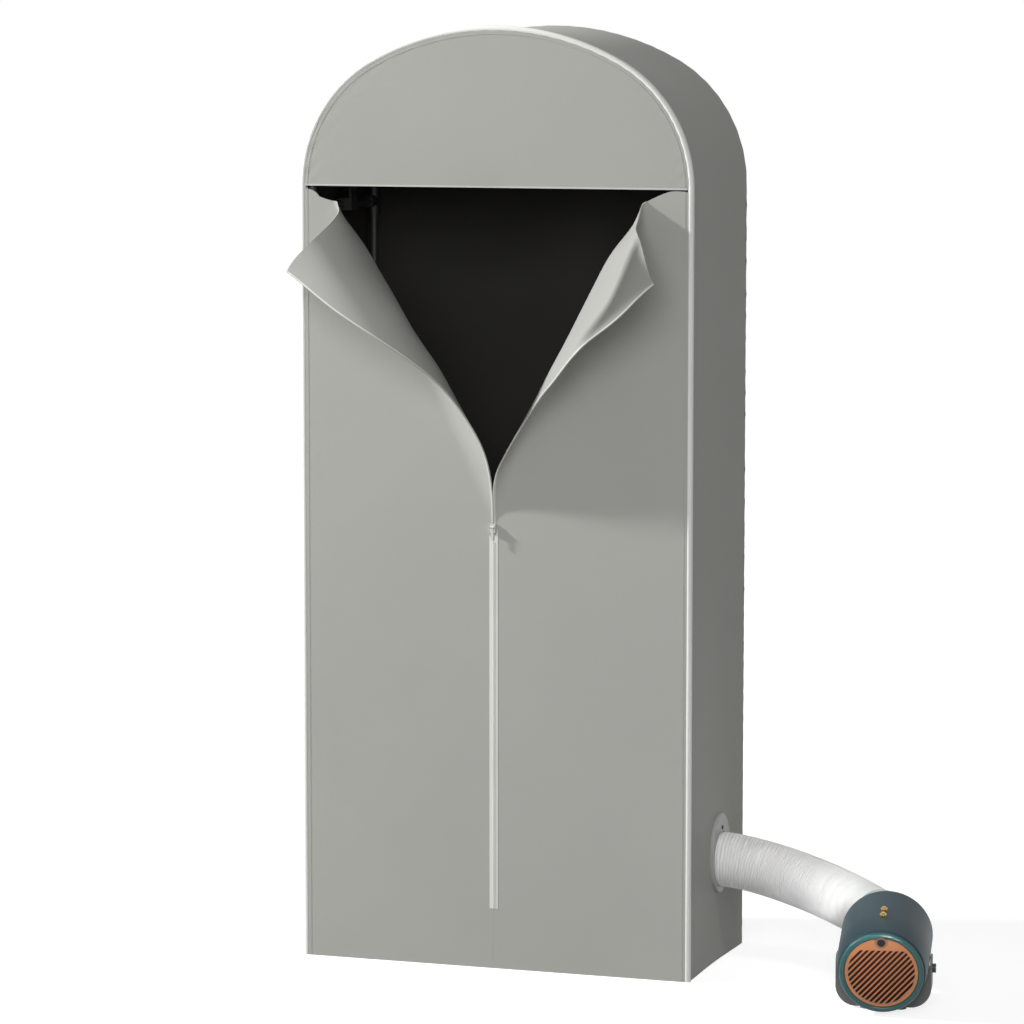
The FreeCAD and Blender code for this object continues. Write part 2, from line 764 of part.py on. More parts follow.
# Fan on the motor shaft
hub = rod(Y * hub_front, Y, hub_radius, hub_back - hub_front)
blades = []
for i in range(blade_count):
    half_chord = (hub_back - hub_front) / 2 / math.cos(math.radians(blade_pitch)) - blade_thickness
    low = Vector(hub_radius / 2, -half_chord, -blade_thickness / 2)
    blade = box(low, Vector(fan_radius, half_chord, blade_thickness / 2))
    blade.rotate(Vector(), X, blade_pitch)
    blade.rotate(Vector(), Y, 360 * i / blade_count)
    blade.translate(Y * (hub_front + hub_back) / 2)
    blades.append(blade)
blade_space = rod(Y * hub_front, Y, fan_radius, hub_back - hub_front)
fan = fuse([hub] + [b.common(blade_space) for b in blades])
shaft_front = hub_front
shaft_back = motor_back + blade_thickness
save_blower("fan_impeller", fan.cut(rod(Y * hub_front, Y, shaft_radius, hub_back - hub_front)))
save_blower("motor_shaft", rod(Y * shaft_front, Y, shaft_radius, shaft_back - shaft_front))
motor_length = motor_back - motor_front
save_blower("fan_motor", pipe(Y * motor_front, Y, motor_radius, shaft_radius + bearing_play, motor_length))
rim_radius = body_bore - seam_gap
mount_length = mount_back - mount_front
mount_parts = [pipe(Y * mount_front, Y, rim_radius, rim_radius - mount_rim, mount_length)]
mount_outer = motor_radius + mount_rim
mount_parts.append(pipe(Y * mount_front, Y, mount_outer, motor_radius + seam_gap, mount_length))
for angle in mount_arm_angles:
    low = Vector(motor_radius + mount_rim / 2, mount_front, -mount_arm_width / 2)
    arm = box(low, Vector(rim_radius - mount_rim / 2, mount_back, mount_arm_width / 2))
    arm.rotate(Vector(), Y, -angle)
    mount_parts.append(arm)
save_blower("motor_mount", fuse(mount_parts))

# Heater: rim, finned element and thermal cut-out
heater_bore = rim_radius - heater_rim
heater_length = heater_back - heater_front
save_blower("heater_frame", pipe(Y * heater_front, Y, rim_radius, heater_bore, heater_length))
heater_space = rod(Y * heater_front, Y, heater_bore - seam_gap, heater_length)
fins = []
for i in range(fin_count):
    offset = (i - (fin_count - 1) / 2) * fin_pitch
    low = Vector(-heater_bore, heater_front, offset - fin_thickness / 2)
    fins.append(box(low, Vector(heater_bore, heater_back, offset + fin_thickness / 2)))
for sign in (-1, 1):
    bar_x = sign * heater_bore / 2 - fin_bar_width / 2
    bar_high = Vector(bar_x + fin_bar_width, heater_back, heater_bore)
    fins.append(box(Vector(bar_x, heater_front, -heater_bore), bar_high))
save_blower("heater_element", fuse(fins).common(heater_space))
cutout_start = at_angle(rim_radius - heater_rim / 2, 90, heater_front - cutout_length)
save_blower("thermal_cutout", rod(cutout_start, Y, cutout_radius, cutout_length))

# Control board with the two switches, and the push buttons over them
board_low = Vector(-board_half_width, board_front, board_height)
board = [box(board_low, Vector(board_half_width, board_back, board_top))]
switch_top = board_top + switch_height
for name, place in button_places.items():
    corner = Vector(-switch_size / 2, place - switch_size / 2, board_top)
    board.append(box(corner, corner + Vector(switch_size, switch_size, switch_height)))
    foot_z = switch_top + button_travel + fit_gap
    cap_z = body_radius + button_travel + fit_gap
    pieces = [
        rod(Vector(0, place, foot_z), Z, button_foot_radius, button_foot_height),
        rod(Vector(0, place, foot_z), Z, button_stem_radius, cap_z - foot_z),
        rod(Vector(0, place, cap_z), Z, button_cap_radius, button_cap_height),
        rod(Vector(0, place, cap_z + button_cap_height), Z, button_tip_radius, button_tip_height),
    ]
    save_blower(name, fuse(pieces))
save_blower("control_board", fuse(board))

# Rear cover: dome, bent outlet and spigot for the hose
tipped_back = tipped.inverted()
outlet_axis = tipped_back.multVec(outlet_heading)
outlet_radius = hose_bore - spigot_play
outlet_bore = outlet_radius - outlet_wall
bend = math.acos(Y.dot(outlet_axis))
side_way = (outlet_axis - Y * math.cos(bend)).normalize()
bend_centre = Y * outlet_back + side_way * outlet_bend_radius
bend_axis = Y.cross(side_way)
spigot_root = Y * outlet_back + (Y + outlet_axis) * outlet_bend_radius * math.tan(bend / 2)


def outlet_bar(dome_shift, radius):
    """Solid of the dome, bend and spigot, moved in by the wall for the hollow."""
    crown = Part.Arc(
        Vector(body_radius - dome_shift, body_back, 0),
        Vector(dome_waist - dome_shift, dome_waist_back - dome_shift, 0),
        Vector(radius, outlet_back, 0),
    ).toShape()
    ends = [Vector(radius, outlet_back, 0), Vector(0, outlet_back, 0), Vector(0, body_back, 0)]
    ends.append(Vector(body_radius - dome_shift, body_back, 0))
    lines = [Part.makeLine(a, b) for a, b in zip(ends[:-1], ends[1:])]
    dome = Part.Face(Part.Wire([crown] + lines)).revolve(Vector(), Y, 360)
    mouth = Part.Face(Part.Wire(Part.makeCircle(radius, Y * outlet_back, Y)))
    elbow = mouth.revolve(bend_centre, bend_axis, math.degrees(bend))
    return fuse([dome, elbow, rod(spigot_root, outlet_axis, radius, spigot_length)])


skirt_outer = body_bore - seam_gap
skirt_start = Y * (body_back - skirt_length)
skirt = rod(skirt_start, Y, skirt_outer, skirt_length + body_wall)
skirt_hollow = rod(skirt_start, Y, skirt_outer - skirt_thickness, skirt_length + body_wall)
outer_bar = outlet_bar(0, outlet_radius).fuse(skirt)
rear_cover = outer_bar.cut(outlet_bar(body_wall + skirt_thickness, outlet_bore)).cut(skirt_hollow)
cover_screws = []
for angle in cover_screw_angles:
    place = body_back - skirt_length / 2
    start = at_angle(skirt_outer - skirt_thickness, angle, place)
    shank_length = body_radius + fit_gap - skirt_outer + skirt_thickness
    shank = rod(start, spoke(angle), cover_screw_radius, shank_length)
    head_radius = cover_screw_radius * screw_head_ratio
    head = rod(at_angle(body_radius + seam_gap, angle, place), spoke(angle), head_radius, screw_head_height)
    cover_screws.append(fuse([shank, head]))
    screw_hole = rod(start - spoke(angle), spoke(angle), cover_screw_radius + thread_play, body_radius)
    rear_cover = rear_cover.cut(screw_hole)
save_blower("rear_cover", rear_cover.removeSplitter())
save_blower("cover_screws", Part.makeCompound(cover_screws))

# Mains inlet gland
gland = rod(gland_root, spoke(gland_angle), gland_radius, gland_outer - body_bore)
gland_seat = at_angle(body_radius + fit_gap, gland_angle, gland_place)
gland = gland.fuse(rod(gland_seat, spoke(gland_angle), gland_flange_radius, gland_flange_thickness))
gland = gland.cut(rod(gland_root, spoke(gland_angle), gland_bore, gland_outer - body_bore))
save_blower("mains_inlet", gland.removeSplitter())

# Cradle stand, pivots, tilt knob and pads, level on the floor, drawn about the tilt axis
floor_drop = -tilt_axis_at.z
base_low = floor_drop + pad_height
sole_low = saddle_rise - arm_inner - sole_thickness
round_x = arm_outer - yoke_round
round_z = sole_low + yoke_round
slant = yoke_round * math.sqrt(0.5)


def stand_point(x, z):
    return Vector(x, -arm_half_width, z)


def both_sides(x, z):
    return stand_point(-x, z), stand_point(x, z)


inner_top = both_sides(arm_inner, arm_top)
inner_spring = both_sides(arm_inner, saddle_rise)
outer_top = both_sides(arm_outer, arm_top)
outer_spring = both_sides(arm_outer, round_z)
outer_slant = both_sides(round_x + slant, round_z - slant)
outer_sole = both_sides(round_x, sole_low)
saddle_low = stand_point(0, saddle_rise - arm_inner)
yoke_edges = [Part.Arc(inner_spring[0], saddle_low, inner_spring[1]).toShape(), Part.makeLine(*outer_sole)]
for side in (0, 1):
    yoke_edges.append(Part.makeLine(inner_top[side], inner_spring[side]))
    yoke_edges.append(Part.makeLine(inner_top[side], outer_top[side]))
    yoke_edges.append(Part.makeLine(outer_top[side], outer_spring[side]))
    yoke_edges.append(Part.Arc(outer_spring[side], outer_slant[side], outer_sole[side]).toShape())
yoke_outline = Part.Wire(Part.__sortEdges__(yoke_edges))
yoke = Part.Face(yoke_outline).extrude(Y * 2 * arm_half_width)
tip_edges = [e for e in yoke.Edges if e.BoundBox.ZMin > arm_top - fit_gap and e.BoundBox.YLength < fit_gap]
yoke = yoke.makeFillet(arm_round, tip_edges)
base_low_corner = Vector(-base_half_length, -base_half_width, base_low)
base = box(base_low_corner, Vector(base_half_length, base_half_width, base_low + base_thickness))
cradle = fuse([yoke, base])
pivots = []
for sign in (-1, 1):
    out = X * sign
    cradle = cradle.cut(rod(out * pivot_face, out, pivot_radius + bearing_play, arm_outer - pivot_face))
    pin_start = pivot_face - pivot_depth + fit_gap
    pin = rod(out * pin_start, out, pivot_radius, arm_outer - pin_start)
    if sign < 0:
        head = rod(out * arm_outer, out, pivot_head_radius, pivot_head_height)
        pivots.append(pin.fuse(head).removeSplitter())
    else:
        pivots.append(rod(out * pin_start, out, pivot_radius, arm_outer + knob_length - pin_start))
save_stand("stand_cradle", cradle)
save_stand("pivot_pins", Part.makeCompound(pivots))
knob = pipe(X * arm_outer, X, knob_radius, pivot_radius + bearing_play, knob_length)
for i in range(knob_flutes):
    flute = 2 * math.pi * i / knob_flutes
    spot = Vector(arm_outer, knob_radius * math.cos(flute), knob_radius * math.sin(flute))
    knob = knob.cut(rod(spot, X, knob_flute_radius, knob_length))
save_stand("tilt_knob", knob)
pads = []
for sign_x in (-1, 1):
    for sign_y in (-1, 1):
        pad_x = sign_x * (base_half_length - pad_inset)
        spot = Vector(pad_x, sign_y * (base_half_width - pad_inset), floor_drop)
        pads.append(rod(spot, Z, pad_radius, pad_height))
save_stand("stand_pads", Part.makeCompound(pads))

# Hose route: straight out of the port, one easy bend, straight on to the spigot
hose_end = blower_place.multVec(spigot_root)
route_start = Vector(hose_start_x, port_y, port_z)
bend_start = route_start + X * hose_lead
bend_end = hose_end + outlet_heading * hose_tail
bend_span = bend_start.distanceToPoint(bend_end)
lead_handle = bend_start + X * bend_span * hose_lead_reach
tail_handle = bend_end + outlet_heading * bend_span * hose_tail_reach
control = [bend_start, lead_handle, tail_handle, bend_end]


def route_point(share):
    """Place and heading at a share of the whole route."""
    total = hose_lead + bend_span + hose_tail
    run = share * total
    if run <= hose_lead:
        return route_start + X * run, X
    if run >= hose_lead + bend_span:
        return hose_end + outlet_heading * (total - run), outlet_heading.negative()
    t = (run - hose_lead) / bend_span
    weights = ((1 - t)**3, 3 * (1 - t)**2 * t, 3 * (1 - t) * t**2, t**3)
    slopes = ((1 - t)**2, 2 * (1 - t) * t, t**2)
    spot = Vector()
    heading = Vector()
    for point, weight in zip(control, weights):
        spot = spot + point * weight
    for first, second, weight in zip(control[:-1], control[1:], slopes):
        heading = heading + (second - first) * weight
    return spot, heading.normalize()


def ring_at(share, radius):
    """Circle square to the route, its seam kept on one side."""
    spot, heading = route_point(share)
    level = Z.cross(heading).normalize()
    circle = Part.Circle(spot, heading, radius)
    circle.XAxis = level
    return Part.Wire(circle.toShape())


hose_rings = []
for i in range(hose_ribs):
    for mark, crest in rib_marks:
        hose_rings.append(ring_at((i + mark) / hose_ribs, hose_radius if crest else hose_root_radius))
hose_rings.append(ring_at(1, hose_root_radius))
hose_body = Part.makeLoft(hose_rings, True, True)
bore_rings = [ring_at(i / hose_ribs, hose_bore) for i in range(hose_ribs + 1)]
save("air_hose", hose_body.cut(Part.makeLoft(bore_rings, True, True)))

# Worm-drive clamp round the hose at the spigot
band_start = hose_end + outlet_heading * clamp_band_inset
band_bore = hose_radius + seam_gap
band = pipe(band_start, outlet_heading, band_bore + clamp_band_thickness, band_bore, clamp_band_width)
band_side = Z.cross(outlet_heading).normalize()
band_up = outlet_heading.cross(band_side)
screw_middle = band_start + outlet_heading * clamp_band_width / 2
screw_middle = screw_middle - band_up * (band_bore + clamp_band_thickness / 2 + clamp_screw_radius)
clamp_screw_start = screw_middle - band_side * clamp_screw_length / 2
clamp_screw = rod(clamp_screw_start, band_side, clamp_screw_radius, clamp_screw_length)
save("hose_clamp", fuse([band, clamp_screw]))
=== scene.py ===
import bmesh
import bpy
import math
from mathutils import Matrix, Vector


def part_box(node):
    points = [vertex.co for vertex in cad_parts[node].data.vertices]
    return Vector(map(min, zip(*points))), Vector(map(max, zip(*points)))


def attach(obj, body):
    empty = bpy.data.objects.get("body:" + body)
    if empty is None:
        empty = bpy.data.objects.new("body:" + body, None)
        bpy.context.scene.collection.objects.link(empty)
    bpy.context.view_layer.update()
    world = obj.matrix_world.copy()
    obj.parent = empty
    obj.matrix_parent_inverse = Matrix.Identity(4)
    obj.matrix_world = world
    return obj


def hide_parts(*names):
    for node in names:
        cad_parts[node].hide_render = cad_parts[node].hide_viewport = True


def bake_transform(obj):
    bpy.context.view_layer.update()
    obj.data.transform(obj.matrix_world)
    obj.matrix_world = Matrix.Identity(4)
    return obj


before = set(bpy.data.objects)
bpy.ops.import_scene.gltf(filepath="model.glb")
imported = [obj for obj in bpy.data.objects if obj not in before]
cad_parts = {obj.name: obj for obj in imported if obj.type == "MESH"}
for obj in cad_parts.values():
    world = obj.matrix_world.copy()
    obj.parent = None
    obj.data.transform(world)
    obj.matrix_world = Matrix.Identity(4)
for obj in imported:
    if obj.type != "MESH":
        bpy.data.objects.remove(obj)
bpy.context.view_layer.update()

# Gusset: one long strip of coated polyester cloth, sewn to the front and back panels.
# It runs up the right side, over the arch and down the left, stretched over the tube frame,
# with a bound round hole for the air port low on the right.
cloth_thickness = 0.002
spring_height = 1.413
arch_side_radius = 0.258
cloth_recess = 0.003
all_behind = -1.0
pucker_pitch = 0.034
pucker_reach = 0.022
pucker_swell = 0.0003
pucker_drift = 1.6
pucker_drift_beat = 11.0
gusset_side_steps = 110
gusset_arch_steps = 36
gusset_columns = 28
gusset_slack = 0.003
slack_mean = 0.6
slack_swing = 0.4
slack_beat = 4.1
slack_shift = 0.7
port_centre = Vector((0.367, 0.020, 0.1886))
port_hole_radius = 0.0545
port_hole_sides = 72
port_cutter_depth = 0.05
port_calm_reach = 0.12
piping_low, piping_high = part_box("front_piping")
half_width = piping_high.x
height = piping_high.z
side_low, side_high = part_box("side_panel_right")
cloth_light = "#B0B0AB"
cloth_shade = "#ADADA8"
# Painted shade: the two dark tones of the cover's inner faces.
painted_shade_light_tone = "#3C3B38"
painted_shade_dark_tone = "#33322F"


def colour(code):
    """Linear colour of an sRGB hex code."""
    parts = [int(code[i:i + 2], 16) / 255 for i in (1, 3, 5)]
    linear = [c / 12.92 if c <= 0.04045 else ((c + 0.055) / 1.055) ** 2.4 for c in parts]
    return (*linear, 1.0)


def add_node(tree, kind, inputs=None, **settings):
    """Adds a node to a tree, sets its options, and sets or links its inputs."""
    node = tree.nodes.new(kind)
    for option, value in settings.items():
        setattr(node, option, value)
    for socket, value in (inputs or {}).items():
        if isinstance(value, bpy.types.NodeSocket):
            tree.links.new(value, node.inputs[socket])
        else:
            node.inputs[socket].default_value = value
    return node


def new_finish(name, **constants):
    """A material whose shader has these constants; gives the material, its tree and its shader."""
    finish = bpy.data.materials.new(name)
    finish.use_nodes = True
    shader = finish.node_tree.nodes["Principled BSDF"]
    for socket, value in constants.items():
        shader.inputs[socket.replace("_", " ")].default_value = value
    return finish, finish.node_tree, shader


def wave_scale(pitch):
    """Wave texture scale whose bands repeat at this pitch in metres."""
    return 2 * math.pi / (20 * pitch)


def woven_cloth(name, light, shade, roughness):
    """Coated polyester: a tight plain weave under a thin satin coat, a little uneven in tone.
    Real threads are about 0.4 mm apart; they are drawn at 1.3 mm so that they show."""
    thread_pitch = 0.0013
    thread_depth = 0.0003
    slubs_per_metre = 3.0
    creases_per_metre = 4.5
    crease_depth = 0.012
    finish, tree, shader = new_finish(name, Roughness=roughness, Specular_IOR_Level=0.1)
    cut = add_node(tree, "ShaderNodeTexCoord").outputs["UV"]
    scale = wave_scale(thread_pitch)
    warp = add_node(tree, "ShaderNodeTexWave", {"Vector": cut, "Scale": scale}, bands_direction="X")
    weft = add_node(tree, "ShaderNodeTexWave", {"Vector": cut, "Scale": scale}, bands_direction="Y")
    weave = add_node(
        tree, "ShaderNodeMath", {0: warp.outputs["Fac"], 1: weft.outputs["Fac"]}, operation="ADD"
    )
    slub = add_node(
        tree,
        "ShaderNodeTexNoise",
        {"Vector": cut, "Scale": slubs_per_metre, "Detail": 2.0, "Roughness": 0.5},
    )
    tone = add_node(tree, "ShaderNodeValToRGB", {"Fac": slub.outputs["Fac"]})
    tone.color_ramp.elements[0].position = 0.3
    tone.color_ramp.elements[0].color = colour(shade)
    tone.color_ramp.elements[1].position = 0.7
    tone.color_ramp.elements[1].color = colour(light)
    thread_bump = add_node(
        tree,
        "ShaderNodeBump",
        {"Height": weave.outputs["Value"], "Strength": 0.10, "Distance": thread_depth},
    )
    crease = add_node(
        tree,
        "ShaderNodeTexNoise",
        {"Vector": cut, "Scale": creases_per_metre, "Detail": 2.0, "Distortion": 0.6},
    )
    crease_bump = add_node(
        tree,
        "ShaderNodeBump",
        {
            "Height": crease.outputs["Fac"],
            "Strength": 0.06,
            "Distance": crease_depth,
            "Normal": thread_bump.outputs["Normal"],
        },
    )
    tree.links.new(tone.outputs["Color"], shader.inputs["Base Color"])
    tree.links.new(crease_bump.outputs["Normal"], shader.inputs["Normal"])
    return finish


def settle(piece):
    """Bakes a piece's modifiers into its mesh."""
    bpy.context.view_layer.update()
    evaluated = piece.evaluated_get(bpy.context.evaluated_depsgraph_get())
    shape = bpy.data.meshes.new_from_object(evaluated)
    piece.modifiers.clear()
    piece.data = shape
    shape.name = piece.name


def smooth(piece, sharp_angle=40):
    """Smooth shading with edges kept where faces turn more than this many degrees."""
    piece.data.shade_smooth()
    piece.data.set_sharp_from_angle(angle=math.radians(sharp_angle))


def new_piece(name, corners, faces, *finishes):
    """A mesh object from corners and faces with its finishes."""
    shape = bpy.data.meshes.new(name)
    shape.from_pydata([tuple(c) for c in corners], [], faces)
    piece = bpy.data.objects.new(name, shape)
    bpy.context.scene.collection.objects.link(piece)
    for finish in finishes:
        shape.materials.append(finish)
    return piece


def cloth_piece(name, grid, cut, thickness, bias, *finishes):
    """A sheet through rows of points; cut holds each point's place on the flat cloth in metres.
    The last finish is the inner face's; bias -1 puts all the thickness behind the points."""
    columns = len(grid[0])
    faces = []
    for i in range(len(grid) - 1):
        for j in range(columns - 1):
            a = i * columns + j
            faces.append((a, a + 1, a + columns + 1, a + columns))
    piece = new_piece(name, [p for row in grid for p in row], faces, *finishes)
    places = [p for row in cut for p in row]
    layer = piece.data.uv_layers.new(name="cut")
    for loop in piece.data.loops:
        layer.data[loop.index].uv = places[loop.vertex_index]
    wall = piece.modifiers.new("wall", "SOLIDIFY")
    wall.thickness = thickness
    wall.offset = bias
    wall.material_offset = len(finishes) - 1
    settle(piece)
    smooth(piece)
    return piece


def arch_line(inset, steps):
    """Points (x, z, outward x, outward z) over the arch from the right springing to the left."""
    rise = height - spring_height
    centre_x = half_width - arch_side_radius
    top_radius = (centre_x**2 + rise**2 - arch_side_radius**2) / (2 * (rise - arch_side_radius))
    top_centre = height - top_radius
    turn = math.atan2(spring_height - top_centre, centre_x)
    parts = (
        (centre_x, spring_height, arch_side_radius, 0, turn, steps),
        (0, top_centre, top_radius, turn, math.pi - turn, steps),
        (-centre_x, spring_height, arch_side_radius, math.pi - turn, math.pi, steps),
    )
    line = []
    for x, z, radius, first, last, count in parts:
        for i in range(count + (last == math.pi)):
            angle = first + (last - first) * i / count
            out_x, out_z = math.cos(angle), math.sin(angle)
            line.append((x + (radius - inset) * out_x, z + (radius - inset) * out_z, out_x, out_z))
    return line


def cover_line(inset, low, side_steps, arch_steps):
    """The cover's outline from the right foot up, over the arch and down to the left foot."""
    arch = arch_line(inset, arch_steps)
    right_x = arch[0][0]
    heights = [low + (spring_height - low) * i / side_steps for i in range(side_steps)]
    right = [(right_x, z, 1.0, 0.0) for z in heights]
    left = [(-right_x, z, -1.0, 0.0) for z in reversed(heights)]
    return right + arch + left


def line_lengths(line):
    """Distance from the first point to each point of a line of places."""
    lengths = [0.0]
    for a, b in zip(line, line[1:]):
        lengths.append(lengths[-1] + math.dist(a[:2], b[:2]))
    return lengths


def pucker(from_seam, along):
    """Small outward swell of cloth beside a seam, dying out away from it."""
    drift = pucker_drift * math.sin(along * pucker_drift_beat)
    wave = math.sin(2 * math.pi * along / pucker_pitch + drift)
    return pucker_swell * wave * math.exp(-from_seam / pucker_reach)


# Coated polyester looks pale grey and nearly matt, with a faint sheen that brings out its creases.
coated_cloth = woven_cloth("coated_polyester_cloth", cloth_light, cloth_shade, roughness=0.55)
# Painted shade: the inner faces of the cover are coloured near black and dull, so that the inside of the
# cabinet reads as shade.
painted_shade_inner_face = woven_cloth("dark_polyester_lining", painted_shade_light_tone, painted_shade_dark_tone, roughness=0.75)
gusset_line = cover_line(cloth_recess, side_low.z, gusset_side_steps, gusset_arch_steps)
gusset_lengths = line_lengths(gusset_line)
gusset_grid = []
gusset_cut = []
for (x, z, out_x, out_z), along in zip(gusset_line, gusset_lengths):
    row = []
    for j in range(gusset_columns + 1):
        share = j / gusset_columns
        y = side_low.y + (side_high.y - side_low.y) * share
        from_seam = min(y - side_low.y, side_high.y - y)
        to_port = math.dist((x, y, z), port_centre)
        near_port = math.exp(-((to_port / port_calm_reach) ** 2))
        beat = slack_mean + slack_swing * math.sin(along * slack_beat + slack_shift)
        slack = gusset_slack * math.sin(math.pi * share) ** 2 * beat
        swell = (pucker(from_seam, along) - slack) * (1 - near_port) + cloth_recess * share**2
        row.append(Vector((x + swell * out_x, y, z + swell * out_z)))
    gusset_grid.append(row)
    gusset_cut.append([(along, p.y) for p in row])
# Its inner face carries the dark painted shade.
gusset = cloth_piece(
    "gusset", gusset_grid, gusset_cut, cloth_thickness, all_behind, coated_cloth, painted_shade_inner_face
)
port_cutter = bpy.data.objects.new("port_cutter", bpy.data.meshes.new("port_cutter"))
bpy.context.scene.collection.objects.link(port_cutter)
cutter_shape = bmesh.new()
cutter_place = Matrix.Translation(port_centre) @ Matrix.Rotation(math.pi / 2, 4, "Y")
bmesh.ops.create_cone(
    cutter_shape,
    cap_ends=True,
    segments=port_hole_sides,
    radius1=port_hole_radius,
    radius2=port_hole_radius,
    depth=port_cutter_depth,
    matrix=cutter_place,
)
cutter_shape.to_mesh(port_cutter.data)
cutter_shape.free()
hole = gusset.modifiers.new("port hole", "BOOLEAN")
hole.object = port_cutter
hole.solver = "EXACT"
settle(gusset)
bpy.data.objects.remove(port_cutter)
smooth(gusset)
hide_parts("side_panel_right", "top_panel", "side_panel_left")
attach(gusset, "cabinet")

# Back panel: one arched piece of the same coated cloth, sewn to the back edge of the gusset
# and drawn flat over the two back posts and the back arch.
back_low, back_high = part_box("back_panel")
back_rows = 70
back_inset = 0.0006
back_arch_steps = 30
back_slack = 0.003
back_line = arch_line(back_inset, back_arch_steps)
back_edge = half_width - back_inset
back_grid = []
back_cut = []
for i in range(back_rows + 1):
    row = []
    for x, top, out_x, out_z in back_line:
        z = back_low.z + (top - back_low.z) * i / back_rows
        from_seam = min(back_edge - abs(x), top - z)
        across = math.cos(math.pi * x / (2 * half_width)) ** 2
        slack = back_slack * math.sin(math.pi * i / back_rows) * across
        row.append(Vector((x, back_high.y - slack + pucker(from_seam, z + x), z)))
    back_grid.append(row)
    back_cut.append([(p.x, p.z) for p in row])
# Its inner face carries the dark painted shade.
back_panel = cloth_piece(
    "back_cloth", back_grid, back_cut, cloth_thickness, all_behind, coated_cloth, painted_shade_inner_face
)
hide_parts("back_panel")
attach(back_panel, "cabinet")

# Floor panel: a rectangle of the same cloth with the dark painted shade on its upper face. It is sewn in
# round the foot of the cover and lies under the base tubes.
floor_low, floor_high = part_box("floor_panel")
floor_columns = 40
floor_rows = 20
floor_grid = []
floor_cut = []
for i in range(floor_rows + 1):
    y = floor_low.y + (floor_high.y - floor_low.y) * i / floor_rows
    row = []
    for j in range(floor_columns + 1):
        x = floor_low.x + (floor_high.x - floor_low.x) * j / floor_columns
        from_seam = min(x - floor_low.x, floor_high.x - x, y - floor_low.y, floor_high.y - y)
        row.append(Vector((x, y, floor_high.z + abs(pucker(from_seam, x + y)))))
    floor_grid.append(row)
    floor_cut.append([(p.x, p.y) for p in row])
floor_cloth = cloth_piece(
    "floor_cloth", floor_grid, floor_cut, cloth_thickness, all_behind, painted_shade_inner_face, coated_cloth
)
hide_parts("floor_panel")
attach(floor_cloth, "cabinet")

# Valance: the arched panel over the opening, drawn smooth over the front arch and nearly flush with
# the piping, with a turned hem along its straight lower edge.
valance_low, valance_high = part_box("valance")
cloth_forward = 0.0022
front_face = valance_low.y - cloth_forward
valance_rows = 26
hem_height = 0.003
hem_thickness = 0.0026
hem_columns = 60
hem_fold_share = 0.3
mostly_behind = -0.67
valance_inset = 0.006
valance_arch_steps = 34
least_rise = 0.0004
valance_line = arch_line(valance_inset, valance_arch_steps)
valance_grid = []
valance_cut = []
for i in range(valance_rows + 1):
    row = []
    for x, top, out_x, out_z in reversed(valance_line):
        z = valance_low.z + max(top - valance_low.z, least_rise) * i / valance_rows
        from_seam = min(half_width - valance_inset - abs(x), top - z)
        row.append(Vector((x, front_face - pucker(max(from_seam, 0), z - x), z)))
    valance_grid.append(row)
    valance_cut.append([(p.x, p.z) for p in row])
# Its inner face carries the dark painted shade.
valance = cloth_piece(
    "valance_cloth", valance_grid, valance_cut, cloth_thickness, all_behind, coated_cloth, painted_shade_inner_face
)
# The binding is paler than the cloth, so that hems and edges show as thin bright lines.
pale_binding = woven_cloth("pale_polyester_binding", "#CFCFCB", "#C7C7C3", roughness=0.5)
hem_grid = []
hem_cut = []
for z in (valance_low.z, valance_low.z + hem_fold_share * hem_height, valance_low.z + hem_height):
    row = []
    for j in range(hem_columns + 1):
        row.append(Vector((valance_low.x + 2 * valance_high.x * j / hem_columns, front_face, z)))
    hem_grid.append(row)
    hem_cut.append([(p.x, p.z) for p in row])
valance_hem = cloth_piece("valance_hem", hem_grid, hem_cut, hem_thickness, mostly_behind, pale_binding)
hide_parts("valance")
for piece in (valance, valance_hem):
    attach(piece, "cabinet")

# Front panels: each half is one cloth, flat below a slanting fold and rolled outwards above it,
# so that the lighter inner face shows. The roll follows the fold's own radius, which grows downwards.
zip_half_gap = 0.0015
zip_top = 0.803
flap_top = 1.409
seam_reach = 0.006
panel_meeting = 0.0001
least_fold_radius = 0.008
edge_tape_width = 0.0026
edge_tape_thickness = 0.0026
edge_tape_lap = 0.0004
edge_tape_columns = 3
edge_tape_rows = 160
left_fold = {
    "start": (0.2223, 1.2879),
    "radius": 0.0135,
    "growth": 0.1191,
    "wrap": 1.2,
    "tail": 0.10445,
    "droop": 3.6,
}
right_fold = {
    "start": (0.2204, 1.2821),
    "radius": 0.0120,
    "growth": 0.043,
    "wrap": 1.7598,
    "tail": 0.20967,
    "droop": 0.0,
}
panel_columns = 100
panel_rows = 300
pull_reach = 0.08
pull_ramp = 0.05
droop_start = 0.13
droop_heading = Vector((-0.316, 0.942, -0.114))
left_pulls = (
    (0.26, 1.405, 0.028, -0.024),
    (0.17, 1.30, 0.017, -0.010),
    (0.15, 1.16, 0.012, -0.011),
    (0.00, 1.405, 0.000, 0.015),
    (0.02, 1.05, 0.011, 0.013),
)
right_pulls = (
    (0.32, 1.405, 0.000, 0.010),
    (0.235, 1.405, 0.012, -0.031),
    (0.10, 1.405, 0.009, 0.010),
    (0.00, 1.405, -0.008, 0.009),
    (0.10, 1.29, 0.015, -0.009),
    (0.00, 1.24, -0.006, 0.010),
    (0.12, 1.14, 0.007, 0.000),
    (0.01, 1.04, 0.026, 0.037),
)


